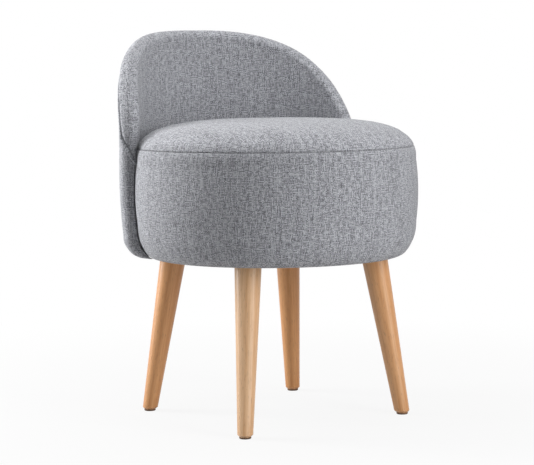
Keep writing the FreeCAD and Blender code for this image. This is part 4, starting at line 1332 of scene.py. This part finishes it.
class STOOL_OT_stage(bpy.types.Operator):
    """Floor, lights and camera"""

    bl_idname = "stool.stage"
    bl_label = "Stage"

    def execute(self, context):
        scene = context.scene
        stage = scene.stool_stage
        scene.view_settings.view_transform = "Standard"
        self.world(scene, stage)
        self.floor()
        right = Vector((math.cos(stage.camera_azimuth), math.sin(stage.camera_azimuth), 0))
        ahead = Vector((-math.sin(stage.camera_azimuth), math.cos(stage.camera_azimuth), 0))
        axis = Vector((0, scene.stool_seat.axis_y, 0))
        aim = axis + Vector((0, 0, AIM_HEIGHT))
        for name, power, (beside, beyond, above), size in LIGHTS:
            place = axis + right * beside + ahead * beyond + Vector((0, 0, above))
            self.lamp(name, place, aim, size, getattr(stage, power))
        self.camera(scene, stage, axis, right, ahead)
        return {"FINISHED"}

    def world(self, scene, stage):
        """Even light from all round, seen as white."""
        scene.world = bpy.data.worlds.new("stool studio")
        scene.world.use_nodes = True
        tree = scene.world.node_tree
        background = tree.nodes["Background"]
        background.inputs["Color"].default_value = (1, 1, 1, 1)
        feed(tree, background.inputs["Strength"], mix_value(tree, seen_share(tree), stage.fill, 1.0))

    def floor(self):
        """Wide pale floor that keeps the object's shadow."""
        mesh = bpy.data.meshes.new("stage_floor")
        corners = [(-FLOOR_REACH, -FLOOR_REACH, 0), (FLOOR_REACH, -FLOOR_REACH, 0),
                   (FLOOR_REACH, FLOOR_REACH, 0), (-FLOOR_REACH, FLOOR_REACH, 0)]
        mesh.from_pydata(corners, [], [(0, 1, 2, 3)])
        floor = new_object("stage_floor", mesh)
        material = bpy.data.materials.new("stage floor")
        material.use_nodes = True
        tree = material.node_tree
        shader = tree.nodes["Principled BSDF"]
        shader.inputs["Roughness"].default_value = 1.0
        shader.inputs["Specular IOR Level"].default_value = 0.0
        place = object_place(tree)
        dapple = mix_colour(tree, noise_value(tree, place, DAPPLE_SCALE), DAPPLE_DARK, DAPPLE_PALE)
        feed(tree, shader.inputs["Base Color"], dapple)
        distance = node(tree, "ShaderNodeVectorMath", {0: place}, operation="LENGTH").outputs["Value"]
        white = ramped(tree, distance, WHITE_NEAR, WHITE_FAR, WHITE_SHARE)
        glow = node(tree, "ShaderNodeEmission", {"Strength": 1.0})
        share = math_node(tree, "MULTIPLY", seen_share(tree), white)
        blend = node(tree, "ShaderNodeMixShader", {0: share, 1: shader.outputs[0], 2: glow.outputs[0]})
        feed(tree, tree.nodes["Material Output"].inputs["Surface"], blend.outputs[0])
        mesh.materials.append(material)

    def lamp(self, name, place, aim, size, power):
        """Soft rectangular light that faces a point."""
        data = bpy.data.lights.new(name, "AREA")
        data.shape = "RECTANGLE"
        data.size, data.size_y = size
        data.energy = power
        lamp = bpy.data.objects.new(name, data)
        bpy.context.scene.collection.objects.link(lamp)
        lamp.location = place
        lamp.rotation_euler = (aim - place).to_track_quat("-Z", "Y").to_euler()

    def camera(self, scene, stage, axis, right_level, ahead_level):
        """Camera at the picture's place, with its focal length and tilt."""
        data = bpy.data.cameras.new("stool camera")
        data.sensor_fit = "HORIZONTAL"
        data.sensor_width = SENSOR_WIDTH
        data.lens = stage.focal_px * SENSOR_WIDTH / PICTURE_WIDTH
        camera = bpy.data.objects.new("stool camera", data)
        scene.collection.objects.link(camera)
        upright = Vector((0, 0, 1))
        ahead = math.cos(stage.camera_yaw) * ahead_level + math.sin(stage.camera_yaw) * right_level
        right = math.cos(stage.camera_yaw) * right_level - math.sin(stage.camera_yaw) * ahead_level
        look = math.cos(stage.camera_pitch) * ahead - math.sin(stage.camera_pitch) * upright
        up = math.sin(stage.camera_pitch) * ahead + math.cos(stage.camera_pitch) * upright
        tilted_right = right * math.cos(stage.camera_roll) + up * math.sin(stage.camera_roll)
        tilted_up = up * math.cos(stage.camera_roll) - right * math.sin(stage.camera_roll)
        matrix = Matrix((tilted_right, tilted_up, -look)).transposed().to_4x4()
        matrix.translation = axis - ahead_level * stage.camera_distance + stage.camera_height * upright
        camera.matrix_world = matrix
        scene.camera = camera


class STOOL_PT_panel(bpy.types.Panel):
    """Sidebar list of the stool's pieces"""

    bl_idname = "STOOL_PT_panel"
    bl_label = "Stool"
    bl_space_type = "VIEW_3D"
    bl_region_type = "UI"
    bl_category = "Stool"

    def draw(self, context):
        for operator in OPERATORS:
            self.layout.operator(operator.bl_idname)


GROUPS = {
    "stool_seat": StoolSeatSizes,
    "stool_back": StoolBackSizes,
    "stool_cloth": StoolCloth,
    "stool_wood": StoolWood,
    "stool_stage": StoolStage,
}
OPERATORS = (
    STOOL_OT_seat,
    STOOL_OT_back,
    STOOL_OT_piping,
    STOOL_OT_stitches,
    STOOL_OT_dust_cover,
    STOOL_OT_legs,
    STOOL_OT_frame,
    STOOL_OT_stage,
)


def register():
    for group in GROUPS.values():
        bpy.utils.register_class(group)
    for name, group in GROUPS.items():
        setattr(bpy.types.Scene, name, bpy.props.PointerProperty(type=group))
    for operator in OPERATORS:
        bpy.utils.register_class(operator)
    bpy.utils.register_class(STOOL_PT_panel)


def unregister():
    bpy.utils.unregister_class(STOOL_PT_panel)
    for operator in reversed(OPERATORS):
        bpy.utils.unregister_class(operator)
    for name in GROUPS:
        delattr(bpy.types.Scene, name)
    for group in reversed(GROUPS.values()):
        bpy.utils.unregister_class(group)


def main():
    register()
    for operator in OPERATORS:
        family, step = operator.bl_idname.split(".")
        getattr(getattr(bpy.ops, family), step)()


if __name__ == "__main__":
    main()
